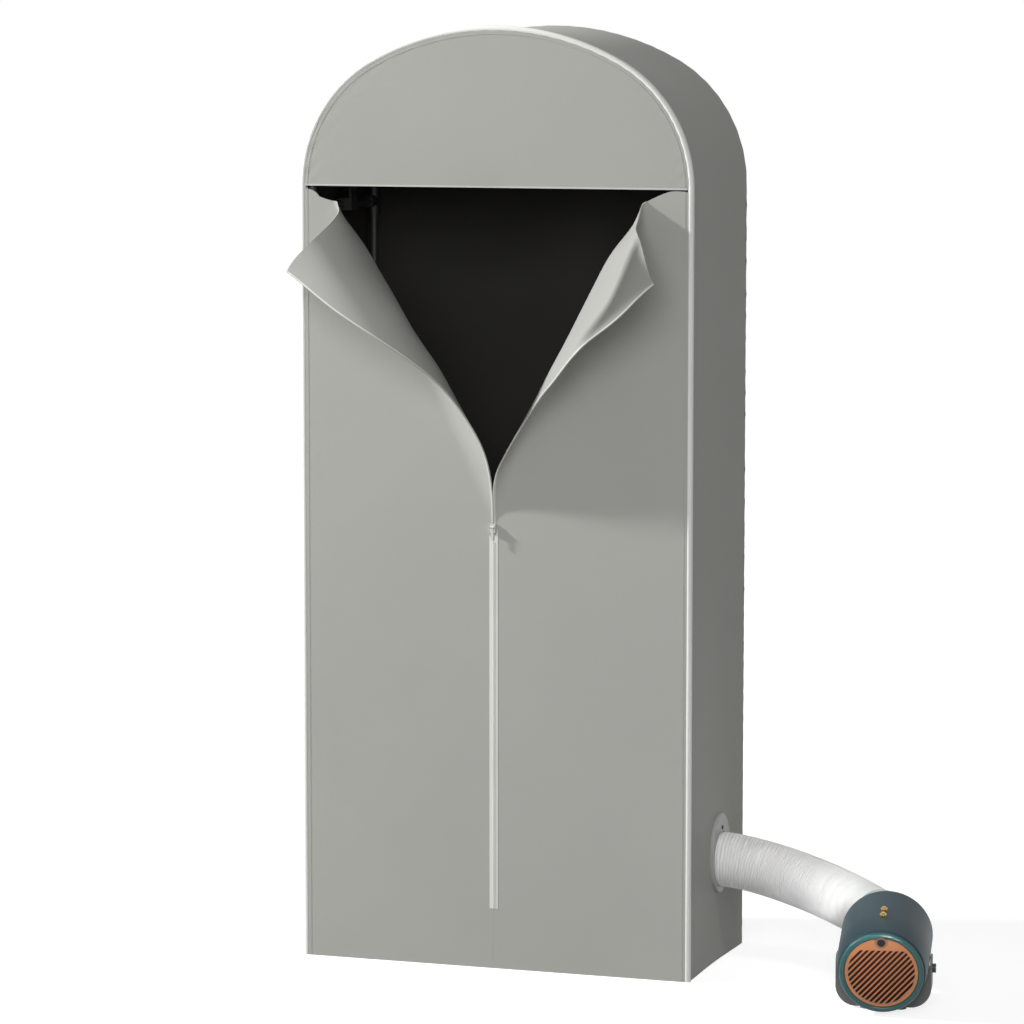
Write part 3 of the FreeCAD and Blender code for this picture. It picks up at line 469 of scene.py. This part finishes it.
def rolled_place(side, fold, x, z):
    """Where a point of the flat cut lies once the flap is rolled, and how far past the fold it is."""
    start_x, start_z = fold["start"]
    reach = math.hypot(start_x - zip_half_gap, zip_top - start_z)
    along = ((start_x - zip_half_gap) / reach, (zip_top - start_z) / reach)
    across = (-along[1], along[0])
    from_start = (start_x - x, z - start_z)
    t = from_start[0] * along[0] + from_start[1] * along[1]
    s = from_start[0] * across[0] + from_start[1] * across[1]
    if s <= 0:
        return Vector((side * x, front_face, z)), 0.0
    radius = max(fold["radius"] + fold["growth"] * t, least_fold_radius)
    angle = min(s / radius, fold["wrap"])
    turn = max(s - radius * fold["wrap"], 0) / fold["tail"]
    shift = radius * math.sin(angle) + fold["tail"] * (math.sin(angle + turn) - math.sin(angle))
    lift = radius * (1 - math.cos(angle)) + fold["tail"] * (math.cos(angle) - math.cos(angle + turn))
    out = start_x - t * along[0] - shift * across[0]
    return Vector((side * out, front_face - lift, start_z + t * along[1] + shift * across[1])), s


def pulled_place(side, fold, pulls, x, z):
    """A rolled point with the cloth's own sag added; each pull is a place on the cut and a shift."""
    place, past_fold = rolled_place(side, fold, x, z)
    place += fold["droop"] * max(past_fold - droop_start, 0.0) ** 2 * droop_heading
    ramp = min((outer_edge - x) / pull_ramp, 1.0)
    for pull_x, pull_z, out, up in pulls:
        weight = ramp * math.exp(-((x - pull_x) ** 2 + (z - pull_z) ** 2) / pull_reach**2)
        place += weight * Vector((side * out, 0, up))
    return place


def rolled_strip(name, side, fold, pulls, across_places, up_places, thickness, bias, *finishes):
    """Cloth cut along these distances from the zip and heights, then rolled with its flap."""
    grid = []
    for z in up_places:
        row = [pulled_place(side, fold, pulls, x, z) for x in across_places]
        grid.append(row if side > 0 else list(reversed(row)))
    ordered = across_places if side > 0 else list(reversed(across_places))
    cut = [[(side * x, z) for x in ordered] for z in up_places]
    return cloth_piece(name, grid, cut, thickness, bias, *finishes)


def steps_between(first, last, count):
    """Even steps from the first value to the last."""
    return [first + (last - first) * i / count for i in range(count + 1)]


# The cloth's inner face looks a tone darker than its outside, so that the rolls stand out.
flap_lining = woven_cloth("polyester_cloth_inner_face", "#A3A39F", "#9E9E9A", roughness=0.5)
outer_edge = half_width - seam_reach
flaps = ((-1, "left", left_fold, left_pulls), (1, "right", right_fold, right_pulls))
for side, side_name, fold, pulls in flaps:
    node_name = "front_panel_" + side_name
    panel = rolled_strip(
        "front_cloth_" + side_name,
        side,
        fold,
        pulls,
        steps_between(panel_meeting, outer_edge, panel_columns),
        steps_between(0.0, flap_top, panel_rows),
        cloth_thickness,
        all_behind,
        coated_cloth,
        flap_lining,
    )
    edge_tape = rolled_strip(
        "zip_edge_tape_" + side_name,
        side,
        fold,
        pulls,
        steps_between(zip_half_gap - edge_tape_lap, zip_half_gap + edge_tape_width, edge_tape_columns),
        steps_between(zip_top, flap_top, edge_tape_rows),
        edge_tape_thickness,
        mostly_behind,
        pale_binding,
    )
    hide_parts(node_name)
    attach(panel, "cabinet")
    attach(edge_tape, "cabinet")

# Piping: a cord in a bias-cut strip of cloth, sewn into the front seam and coloured far paler than the
# cover as a painted highlight. It runs up both front corners and over the arch, with a row of stitches
# beside it.
piping_radius = 0.006
piping_sides = 20
piping_side_steps = 60
piping_arch_steps = 40
stitch_steps = 40
stitch_foot = 0.004
stitch_inset = 0.0155
stitch_spacing = 0.0052
stitch_length = 0.0036
stitch_radius = 0.00042


def tube_piece(name, path, radius, sides, level, finish):
    """A round tube along a path; level is the direction that its rings start from."""
    corners = []
    places = []
    along = 0.0
    for i, place in enumerate(path):
        before = path[max(i - 1, 0)]
        after = path[min(i + 1, len(path) - 1)]
        heading = (after - before).normalized()
        first = (level - heading * level.dot(heading)).normalized()
        second = heading.cross(first)
        along += (place - before).length
        for k in range(sides):
            angle = 2 * math.pi * k / sides
            corners.append(place + radius * (math.cos(angle) * first + math.sin(angle) * second))
        places.append(along)
    faces = []
    for i in range(len(path) - 1):
        for k in range(sides):
            following = (k + 1) % sides
            row = i * sides
            faces.append((row + k, row + following, row + sides + following, row + sides + k))
    faces.append(tuple(reversed(range(sides))))
    faces.append(tuple(range((len(path) - 1) * sides, len(path) * sides)))
    piece = new_piece(name, corners, faces, finish)
    layer = piece.data.uv_layers.new(name="cut")
    for face in piece.data.polygons:
        closes_ring = any(corner % sides == sides - 1 for corner in face.vertices)
        for loop in face.loop_indices:
            corner = piece.data.loops[loop].vertex_index
            step = corner % sides
            if step == 0 and closes_ring:
                step = sides
            layer.data[loop].uv = (places[corner // sides], 2 * math.pi * radius * step / sides)
    smooth(piece)
    return piece


def path_tree(name, wanted, result):
    """An empty node tree with these inputs and one result; gives the tree and its inputs."""
    tree = bpy.data.node_groups.new(name, "GeometryNodeTree")
    for label, kind in wanted:
        tree.interface.new_socket(label, in_out="INPUT", socket_type=kind)
    tree.interface.new_socket(result, in_out="OUTPUT", socket_type="NodeSocketGeometry")
    return tree, add_node(tree, "NodeGroupInput").outputs


def rods_tree():
    """Node tree that lays short rods one after another along a path, for stitches and zip coils."""
    rod_sides = 6
    wanted = (
        ("Path", "NodeSocketGeometry"),
        ("Spacing", "NodeSocketFloat"),
        ("Rod length", "NodeSocketFloat"),
        ("Rod radius", "NodeSocketFloat"),
        ("Finish", "NodeSocketMaterial"),
    )
    tree, given = path_tree("rods_along_path", wanted, "Rods")
    points = add_node(
        tree,
        "GeometryNodeCurveToPoints",
        {"Curve": given["Path"], "Length": given["Spacing"]},
        mode="LENGTH",
    )
    turn = add_node(
        tree, "FunctionNodeAlignRotationToVector", {"Vector": points.outputs["Tangent"]}, axis="Z"
    )
    rod = add_node(
        tree,
        "GeometryNodeMeshCylinder",
        {"Vertices": rod_sides, "Radius": given["Rod radius"], "Depth": given["Rod length"]},
    )
    laid = add_node(
        tree,
        "GeometryNodeInstanceOnPoints",
        {
            "Points": points.outputs["Points"],
            "Instance": rod.outputs["Mesh"],
            "Rotation": turn.outputs["Rotation"],
        },
    )
    real = add_node(tree, "GeometryNodeRealizeInstances", {"Geometry": laid.outputs["Instances"]})
    done = add_node(
        tree,
        "GeometryNodeSetMaterial",
        {"Geometry": real.outputs["Geometry"], "Material": given["Finish"]},
    )
    add_node(tree, "NodeGroupOutput", {"Rods": done.outputs["Geometry"]})
    return tree


def noded_piece(name, line, tree, **values):
    """Runs a node tree on a curve and keeps the result as a plain mesh object."""
    carrier = bpy.data.objects.new(name + "_path", line)
    bpy.context.scene.collection.objects.link(carrier)
    modifier = carrier.modifiers.new("nodes", "NODES")
    modifier.node_group = tree
    for socket in tree.interface.items_tree:
        key = socket.name.replace(" ", "_")
        if socket.in_out == "INPUT" and key in values:
            modifier[socket.identifier] = values[key]
    bpy.context.view_layer.update()
    evaluated = carrier.evaluated_get(bpy.context.evaluated_depsgraph_get())
    shape = bpy.data.meshes.new_from_object(evaluated)
    bpy.data.objects.remove(carrier)
    shape.name = name
    piece = bpy.data.objects.new(name, shape)
    bpy.context.scene.collection.objects.link(piece)
    return piece


def poly_line(name, *paths):
    """A curve of straight runs through each path's points."""
    line = bpy.data.curves.new(name, "CURVE")
    line.dimensions = "3D"
    for path in paths:
        spline = line.splines.new("POLY")
        spline.points.add(len(path) - 1)
        for point, place in zip(spline.points, path):
            point.co = (*place, 1.0)
    return line


def moulded(name, code, roughness, grain, depth, **constants):
    """A moulded or cast surface: one colour with a fine grain, its grain size in metres."""
    clouds_per_metre = 14.0
    shade_share = 0.92
    light_share = 1.05
    finish, tree, shader = new_finish(name, Roughness=roughness, **constants)
    place = add_node(tree, "ShaderNodeTexCoord").outputs["Object"]
    pits = add_node(tree, "ShaderNodeTexNoise", {"Vector": place, "Scale": 1 / grain, "Detail": 2.0})
    cloud = add_node(
        tree, "ShaderNodeTexNoise", {"Vector": place, "Scale": clouds_per_metre, "Detail": 3.0}
    )
    tone = add_node(tree, "ShaderNodeValToRGB", {"Fac": cloud.outputs["Fac"]})
    base = colour(code)[:3]
    tone.color_ramp.elements[0].position = 0.25
    tone.color_ramp.elements[0].color = (*[c * shade_share for c in base], 1.0)
    tone.color_ramp.elements[1].position = 0.75
    tone.color_ramp.elements[1].color = (*[min(c * light_share, 1) for c in base], 1.0)
    bump = add_node(
        tree, "ShaderNodeBump", {"Height": pits.outputs["Fac"], "Strength": 0.25, "Distance": depth}
    )
    tree.links.new(tone.outputs["Color"], shader.inputs["Base Color"])
    tree.links.new(bump.outputs["Normal"], shader.inputs["Normal"])
    return finish


# Painted highlight: the piping is coloured the palest of the cloths, standing in for the light that its
# round edge catches, so that a bright line runs round the front.
piping_painted_highlight = woven_cloth("pale_polyester_piping", "#EEEEEA", "#E6E6E2", roughness=0.45)
piping_y = piping_low.y + piping_radius
piping_line = cover_line(piping_radius, 0.0, piping_side_steps, piping_arch_steps)
piping_path = [Vector((x, piping_y, z)) for x, z, out_x, out_z in piping_line]
piping = tube_piece(
    "front_piping_cord", piping_path, piping_radius, piping_sides, Vector((0, 1, 0)), piping_painted_highlight
)
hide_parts("front_piping")
# The thread has the cloth's own tone, so that the stitches only just show.
thread_finish = moulded("polyester_thread", "#AFAFAA", roughness=0.6, grain=0.0006, depth=0.0001)
stitch_y = front_face - stitch_radius / 2
stitch_line = cover_line(stitch_inset, stitch_foot, stitch_steps, stitch_steps)
stitch_path = [Vector((x, stitch_y, z)) for x, z, out_x, out_z in stitch_line]
rods = rods_tree()
seam_stitches = noded_piece(
    "front_seam_stitches",
    poly_line("front_seam", stitch_path),
    rods,
    Spacing=stitch_spacing,
    Rod_length=stitch_length,
    Rod_radius=stitch_radius,
    Finish=thread_finish,
)
for piece in (piping, seam_stitches):
    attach(piece, "cabinet")

# Zip: a pale woven tape sewn over the meeting edges of the front panels, with a moulded coil along
# its middle. At its top the two halves part and run on along the free edges of the flaps.
zip_low, zip_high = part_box("zip_chain")
zip_tape_half = 0.008
zip_tape_thickness = 0.0004
zip_tape_crown = 0.0001
coil_pitch = 0.0024
coil_radius = 0.0009
coil_length = 0.0016
coil_offset = 0.0011
coil_foot = 0.002
coil_top = zip_top - 0.024
notch_drop = ((-0.008, 0.012), (-0.004, 0.017), (0.001, 0.023), (0.0045, 0.010), (0.008, 0.0))
tape_rows = 90
tape_front = front_face - zip_tape_thickness
tape_grid = []
tape_cut = []
for i in range(tape_rows + 1):
    row = []
    for x, drop in notch_drop:
        z = zip_low.z + (zip_high.z - drop - zip_low.z) * i / tape_rows
        crown = zip_tape_crown * (1 - (x / zip_tape_half) ** 2)
        row.append(Vector((x, tape_front - crown, z)))
    tape_grid.append(row)
    tape_cut.append([(p.x, p.z) for p in row])
# The zip tape looks nearly white beside the grey cloth.
zip_tape_finish = woven_cloth("pale_woven_zip_tape", "#E4E5DF", "#DADBD5", roughness=0.55)
zip_tape = cloth_piece("zip_tape", tape_grid, tape_cut, zip_tape_thickness, all_behind, zip_tape_finish)
# Nylon is a little glossier than the tape, so that each turn of the coil catches the light.
coil_finish = moulded("pale_nylon_coil", "#DEDFD9", roughness=0.4, grain=0.0008, depth=0.00005)
coil_y = tape_front - zip_tape_crown
coil_paths = []
for sign in (-1, 1):
    coil_x = sign * coil_offset
    start = zip_low.z + coil_foot + (sign > 0) * coil_pitch / 2
    coil_paths.append([Vector((coil_x, coil_y, start)), Vector((coil_x, coil_y, coil_top))])
zip_coil = noded_piece(
    "zip_coil",
    poly_line("zip_coil_line", *coil_paths),
    rods,
    Spacing=coil_pitch,
    Rod_length=coil_length,
    Rod_radius=coil_radius,
    Finish=coil_finish,
)
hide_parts("zip_chain")
for piece in (zip_tape, zip_coil):
    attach(piece, "cabinet")

# Zip slider and pull: die-cast zinc, enamelled pale to match the tape. The slider sits on the coil
# at the top of the closed part, and the pull hangs from it.


def paint(finish, *names):
    """Gives CAD nodes a finish."""
    for name in names:
        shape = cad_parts[name]
        for slot in shape.material_slots:
            slot.material = finish
        if not shape.material_slots:
            shape.data.materials.append(finish)


# Enamel looks smooth and pale, with one small soft highlight.
zinc_enamel = moulded("pale_enamelled_zinc", "#CFCFCA", roughness=0.35, grain=0.0012, depth=0.0001)
paint(zinc_enamel, "zip_slider", "zip_pull")

# Tube frame: thin steel tube with a dark powder coat, pushed into moulded nylon fittings,
# hidden by the cover except through the opening.
# Powder coat looks dark and satin, with long dim highlights down the tubes.
powder_coat = moulded("dark_powder_coated_steel", "#3A3B3B", roughness=0.45, grain=0.0008, depth=0.00015)
# The fittings look darker and duller than the tubes that they hold.
fitting_nylon = moulded("dark_moulded_nylon", "#2E2F2F", roughness=0.5, grain=0.0010, depth=0.0001)
# The rail looks a little metallic, so that it can be made out in the dark inside.
rail_steel = moulded(
    "dark_coated_rail", "#4A4B4C", roughness=0.4, grain=0.0030, depth=0.00005, Metallic=0.4
)
paint(
    powder_coat,
    "post_front_left",
    "post_front_right",
    "post_back_left",
    "post_back_right",
    "base_depth_tube_left",
    "base_depth_tube_right",
    "top_depth_tube_left",
    "top_depth_tube_right",
    "base_tube_front",
    "base_tube_back",
    "arch_tube_front",
    "arch_tube_back",
    "ridge_tube",
)
paint(fitting_nylon, "base_corner_fittings", "top_tee_fittings", "ridge_fittings", "rail_brackets")
paint(rail_steel, "hanging_rail")

# Air port: a white moulded flange outside and a clamp ring inside, drawn together through the cloth
# by one dark screw above the hose.
# Moulded ABS looks plain and pale, with a soft sheen.
white_plastic = moulded("white_moulded_abs", "#A9AAA6", roughness=0.45, grain=0.0009, depth=0.0001)
# Blackened steel looks almost black, with a small glint.
dark_steel = moulded(
    "blackened_steel", "#2B2B2B", roughness=0.4, grain=0.0010, depth=0.0001, Metallic=0.8
)
paint(white_plastic, "port_flange", "port_clamp_ring")
paint(dark_steel, "port_screw")

# Hose: white PVC on a spiral wire, which shows as close ribs. It leaves the port square, droops in
# one easy bend and pushes over the blower's outlet, where a clamp holds it.
hose_root_radius = 0.0476
hose_crest_radius = 0.050
hose_wall = 0.0014
hose_rib_count = 74
rings_per_rib = 8
hose_sides = 64
hose_curve_steps = 64
hose_sharp_angle = 60
port_handle_share = 0.5
outlet_handle_share = 0.3
hose_start = Vector((0.359, 0.020, 0.1886))
hose_bend_start = Vector((0.371, 0.020, 0.1886))
hose_lead_handle = Vector((0.43370, 0.020, 0.1886))
hose_tail_handle = Vector((0.55392, 0.05075, 0.14640))
hose_bend_end = Vector((0.66654, -0.06579, 0.12880))
hose_end = Vector((0.70799, -0.10868, 0.12232))


def hose_tree():
    """Node tree that sweeps a round along a path, swelling and narrowing it into ribs."""
    wanted = (
        ("Path", "NodeSocketGeometry"),
        ("Root radius", "NodeSocketFloat"),
        ("Crest radius", "NodeSocketFloat"),
        ("Ribs", "NodeSocketFloat"),
        ("Rings", "NodeSocketInt"),
        ("Finish", "NodeSocketMaterial"),
    )
    tree, given = path_tree("ribbed_hose", wanted, "Hose")
    even = add_node(
        tree,
        "GeometryNodeResampleCurve",
        {"Curve": given["Path"], "Count": given["Rings"]},
        mode="COUNT",
    )
    share = add_node(tree, "GeometryNodeSplineParameter").outputs["Factor"]
    ribs = add_node(tree, "ShaderNodeMath", {0: share, 1: given["Ribs"]}, operation="MULTIPLY")
    phase = add_node(
        tree, "ShaderNodeMath", {0: ribs.outputs["Value"], 1: 2 * math.pi}, operation="MULTIPLY"
    )
    wave = add_node(tree, "ShaderNodeMath", {0: phase.outputs["Value"]}, operation="SINE")
    size = add_node(
        tree,
        "ShaderNodeMapRange",
        {
            "Value": wave.outputs["Value"],
            "From Min": -1.0,
            "From Max": 1.0,
            "To Min": given["Root radius"],
            "To Max": given["Crest radius"],
        },
    )
    ring = add_node(tree, "GeometryNodeCurvePrimitiveCircle", {"Resolution": hose_sides, "Radius": 1.0})
    skin = add_node(
        tree,
        "GeometryNodeCurveToMesh",
        {
            "Curve": even.outputs["Curve"],
            "Profile Curve": ring.outputs["Curve"],
            "Scale": size.outputs["Result"],
        },
    )
    done = add_node(
        tree, "GeometryNodeSetMaterial", {"Geometry": skin.outputs["Mesh"], "Material": given["Finish"]}
    )
    add_node(tree, "NodeGroupOutput", {"Hose": done.outputs["Geometry"]})
    return tree


# PVC looks white and half glossy, and every rib has its own line of light and shade.
hose_pvc = moulded("white_pvc_hose", "#F2F2F1", roughness=0.42, grain=0.0020, depth=0.00004)
hose_line = bpy.data.curves.new("hose_line", "CURVE")
hose_line.dimensions = "3D"
hose_line.resolution_u = hose_curve_steps
spline = hose_line.splines.new("BEZIER")
hose_stops = (
    (hose_start, hose_start, hose_start.lerp(hose_bend_start, port_handle_share)),
    (hose_bend_start, hose_bend_start.lerp(hose_start, port_handle_share), hose_lead_handle),
    (hose_bend_end, hose_tail_handle, hose_bend_end.lerp(hose_end, outlet_handle_share)),
    (hose_end, hose_end.lerp(hose_bend_end, outlet_handle_share), hose_end),
)
spline.bezier_points.add(len(hose_stops) - 1)
for point, (place, handle_in, handle_out) in zip(spline.bezier_points, hose_stops):
    point.co = place
    point.handle_left_type = "FREE"
    point.handle_right_type = "FREE"
    point.handle_left = handle_in
    point.handle_right = handle_out
air_hose = noded_piece(
    "ribbed_air_hose",
    hose_line,
    hose_tree(),
    Root_radius=hose_root_radius,
    Crest_radius=hose_crest_radius,
    Ribs=float(hose_rib_count),
    Rings=hose_rib_count * rings_per_rib + 1,
    Finish=hose_pvc,
)
wall = air_hose.modifiers.new("wall", "SOLIDIFY")
wall.thickness = hose_wall
wall.offset = all_behind
settle(air_hose)
smooth(air_hose, hose_sharp_angle)
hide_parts("air_hose")
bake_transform(air_hose)
# Stainless steel looks bright and mirrors the white round it.
steel_band = moulded(
    "stainless_steel_band", "#B8BABB", roughness=0.28, grain=0.0015, depth=0.00005, Metallic=1.0
)
paint(steel_band, "hose_clamp")

# Blower housing and rear cover: a drawn steel drum and the pressed cover that closes its back and
# carries the outlet. Both are painted, and the cover is held by three dark screws.
# Satin paint looks nearly black with a blue cast, and its highlights are broad and dim.
slate_paint = moulded(
    "slate_satin_paint", "#283A41", roughness=0.42, grain=0.0006, depth=0.00004, Specular_IOR_Level=0.16
)
paint(slate_paint, "blower_housing", "rear_cover")
paint(dark_steel, "cover_screws")

# Front ring: a ring turned from aluminium and anodised teal. Its neck is pushed into the front of the
# housing, and it frames the intake.
# Anodised aluminium looks deep in colour, with a clear narrow highlight round the turned edge.
teal_anodised = moulded(
    "teal_anodised_aluminium",
    "#285B5C",
    roughness=0.22,
    grain=0.0010,
    depth=0.00004,
    Specular_IOR_Level=0.4,
)
paint(teal_anodised, "front_ring")

# Intake grille: copper-coloured aluminium disc with slanting slots, held by one screw in a raised boss,
# over a dark foam dust filter.
# The disc looks warm and half metallic; round the boss it is coloured a duller, darker brown as painted
# shade.
copper_disc = moulded(
    "copper_anodised_aluminium",
    "#BE7E56",
    roughness=0.34,
    grain=0.0008,
    depth=0.00006,
    Metallic=0.25,
    Specular_IOR_Level=0.3,
)
# Foam looks dark and quite dull, so that the slots read as deep.
filter_foam = moulded("dark_filter_foam", "#300A05", roughness=0.9, grain=0.0016, depth=0.0008)
boss_reach = 0.0118
boss_low, boss_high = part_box("grille_screw")
disc_tree = copper_disc.node_tree
disc_place = add_node(disc_tree, "ShaderNodeTexCoord").outputs["Object"]
boss_middle = (boss_low + boss_high) / 2
from_boss = add_node(
    disc_tree, "ShaderNodeVectorMath", {0: disc_place, 1: boss_middle}, operation="DISTANCE"
)
on_boss = add_node(
    disc_tree, "ShaderNodeMath", {0: from_boss.outputs["Value"], 1: boss_reach}, operation="LESS_THAN"
)
disc_shader = disc_tree.nodes["Principled BSDF"]
disc_colour = disc_shader.inputs["Base Color"].links[0].from_socket
# Painted shade: the mix below darkens the disc round the boss.
boss_painted_shade = add_node(
    disc_tree,
    "ShaderNodeMix",
    {0: on_boss.outputs["Value"], 6: disc_colour, 7: colour("#8E6E5A")},
    data_type="RGBA",
)
disc_tree.links.new(boss_painted_shade.outputs[2], disc_shader.inputs["Base Color"])
paint(copper_disc, "intake_grille")
paint(dark_steel, "grille_screw")
paint(filter_foam, "dust_filter")

# Blower works: a moulded fan on the motor's shaft, a finned heater in a frame and the control board.
# All are inside the housing, with only the mains gland showing outside.
# Black nylon looks dull, with the faintest sheen.
black_nylon = moulded("black_moulded_nylon", "#222324", roughness=0.5, grain=0.0009, depth=0.0001)
# Zinc plate looks cool and bright.
motor_steel = moulded(
    "zinc_plated_motor_steel", "#9A9C9E", roughness=0.35, grain=0.0012, depth=0.00006, Metallic=1.0
)
# Bare fins look paler than the motor and softer in their highlights.
heater_aluminium = moulded(
    "heater_fin_aluminium", "#C4C6C8", roughness=0.4, grain=0.0010, depth=0.00005, Metallic=1.0
)
# Board laminate looks green, with a low gloss.
board_laminate = moulded("green_board_laminate", "#1F5A3C", roughness=0.45, grain=0.0010, depth=0.00004)
paint(black_nylon, "fan_impeller", "motor_mount", "heater_frame", "thermal_cutout", "mains_inlet")
paint(motor_steel, "fan_motor", "motor_shaft")
paint(heater_aluminium, "heater_element")
paint(board_laminate, "control_board")

# Push buttons: two stepped buttons turned from brass, in line on top of the housing. Each slides in
# a hole in the steel.
# Polished brass looks yellow and mirrors the studio, with bright rims.
polished_brass = moulded(
    "polished_brass", "#C4A767", roughness=0.24, grain=0.0012, depth=0.00004, Metallic=1.0
)
paint(polished_brass, "power_button", "heat_button")

# Cradle stand: a grey moulded yoke with an arm up each side of the blower, pivots, a fluted tilt knob
# on the right and four rubber pads.
# Glass-filled nylon looks mid grey and matt, with a fine grain.
cradle_plastic = moulded(
    "grey_glass_filled_nylon", "#6E7070", roughness=0.48, grain=0.0009, depth=0.00012
)
# Rubber looks black and gives no highlight.
pad_rubber = moulded("black_rubber", "#1E1E1E", roughness=0.8, grain=0.0009, depth=0.0002)
paint(cradle_plastic, "stand_cradle")
paint(motor_steel, "pivot_pins")
# The knob looks a step darker than the cradle, so that its flutes stand out.
knob_nylon = moulded("dark_grey_nylon", "#3A3A3A", roughness=0.45, grain=0.0009, depth=0.0001)
paint(knob_nylon, "tilt_knob")
paint(pad_rubber, "stand_pads")

# Studio: a white floor that runs into a white backdrop and keeps only the shadow. A soft key lamp stands
# on the left, a weak fill in front, and two small lamps pick out the hose. The camera is at the
# photograph's viewpoint.
stage_size = 30.0
white = (1.0, 1.0, 1.0, 1.0)
floor_grey = (0.4, 0.4, 0.4, 1.0)
floor_near_level = 0.82
floor_near = 1.0
floor_far = 2.4
key_place = (-4.43, -1.19, 3.55)
key_power = 388.0
fill_power = 150.0
hose_power = 0.13
hose_front_power = 0.046
sky_level = 0.20
stage = stage_size / 2
stage_corners = [(-stage, -stage, 0), (stage, -stage, 0), (stage, stage, 0), (-stage, stage, 0)]
floor_plane = new_piece("studio_floor", stage_corners, [(0, 1, 2, 3)])
# The floor looks white to the camera alone, so that it adds no light and only the shadow shows.
floor_finish, floor_tree, floor_shader = new_finish(
    "white_studio_floor", Roughness=1.0, Specular_IOR_Level=0.0
)
floor_shader.inputs["Base Color"].default_value = floor_grey
floor_shader.inputs["Emission Color"].default_value = white
floor_ray = add_node(floor_tree, "ShaderNodeLightPath").outputs
floor_seen = add_node(
    floor_tree,
    "ShaderNodeMath",
    {0: floor_ray["Is Camera Ray"], 1: floor_ray["Is Glossy Ray"]},
    operation="MAXIMUM",
)
floor_place = add_node(floor_tree, "ShaderNodeTexCoord").outputs["Object"]
floor_distance = add_node(floor_tree, "ShaderNodeVectorMath", {0: floor_place}, operation="LENGTH")
floor_level = add_node(
    floor_tree,
    "ShaderNodeMapRange",
    {
        "Value": floor_distance.outputs["Value"],
        "From Min": floor_near,
        "From Max": floor_far,
        "To Min": floor_near_level,
        "To Max": 1.0,
    },
)
floor_glow = add_node(
    floor_tree,
    "ShaderNodeMath",
    {0: floor_seen.outputs["Value"], 1: floor_level.outputs["Result"]},
    operation="MULTIPLY",
)
floor_tree.links.new(floor_glow.outputs["Value"], floor_shader.inputs["Emission Strength"])
floor_plane.data.materials.append(floor_finish)

world = bpy.data.worlds.new("studio_world")
bpy.context.scene.world = world
world.use_nodes = True
sky = world.node_tree
ray = add_node(sky, "ShaderNodeLightPath").outputs
seen = ray["Is Camera Ray"]
for kind in ("Is Glossy Ray", "Is Transmission Ray"):
    seen = add_node(sky, "ShaderNodeMath", {0: seen, 1: ray[kind]}, operation="MAXIMUM").outputs["Value"]
strength = add_node(sky, "ShaderNodeMapRange", {"Value": seen, "To Min": sky_level, "To Max": 1.0})
backdrop = sky.nodes["Background"]
backdrop.inputs["Color"].default_value = white
sky.links.new(strength.outputs["Result"], backdrop.inputs["Strength"])


def area_lamp(name, place, aim, size, power, spread=180):
    """A soft square lamp at a place, aimed at a point; spread is its beam in degrees."""
    lamp = bpy.data.lights.new(name, "AREA")
    lamp.size = size
    lamp.energy = power
    lamp.spread = math.radians(spread)
    holder = bpy.data.objects.new(name, lamp)
    holder.location = place
    holder.rotation_euler = (Vector(aim) - Vector(place)).to_track_quat("-Z", "Y").to_euler()
    bpy.context.scene.collection.objects.link(holder)


area_lamp("key_lamp", key_place, aim=(0.0, 0.0, 0.9), size=0.35, power=key_power)
area_lamp("front_fill", (1.5, -6.0, 3.0), aim=(0.1, 0.0, 0.8), size=3.0, power=fill_power)
area_lamp(
    "hose_lamp", (0.95, -0.75, 1.5), aim=(0.58, -0.02, 0.16), size=0.3, power=hose_power, spread=26
)
area_lamp(
    "hose_front_lamp",
    (1.1, -1.5, 0.3),
    aim=(0.63, -0.03, 0.13),
    size=0.12,
    power=hose_front_power,
    spread=10,
)

# Flag: a small unseen sheet between the key lamp and the outer part of the right flap, which it keeps
# in shade as in the photograph. Its corners are places on the flap, moved towards the lamp.
flag_share = 0.06
flag_cut = (
    (0.125, flap_top),
    (0.06, flap_top),
    (-0.03, flap_top + 0.03),
    (zip_half_gap, 1.33),
    (zip_half_gap, 1.225),
)
flap_shade = [pulled_place(1, right_fold, right_pulls, x, z) for x, z in flag_cut]
flag_corners = [place.lerp(Vector(key_place), flag_share) for place in flap_shade]
flag = new_piece("key_flag", flag_corners, [tuple(range(len(flag_corners)))], floor_finish)
flag.visible_camera = False
flag.visible_diffuse = False
flag.visible_glossy = False
flag.visible_transmission = False

# Camera: a long lens, about 7.7 m away, in front and to the right. Its place, aim and lens were fitted
# to the straight edges of the cabinet in the photograph.
camera_lens = 148.471
camera_sensor = 36.0
camera_place = (2.42368, -7.29394, 1.69338)
camera_dip = 6.5246
camera_turn = 18.5485
camera_data = bpy.data.cameras.new("photo_camera")
camera_data.lens = camera_lens
camera_data.sensor_width = camera_sensor
camera = bpy.data.objects.new("photo_camera", camera_data)
camera.location = camera_place
camera.rotation_euler = (math.radians(90 - camera_dip), 0.0, math.radians(camera_turn))
bpy.context.scene.collection.objects.link(camera)
bpy.context.scene.camera = camera
bpy.context.scene.view_settings.view_transform = "Standard"
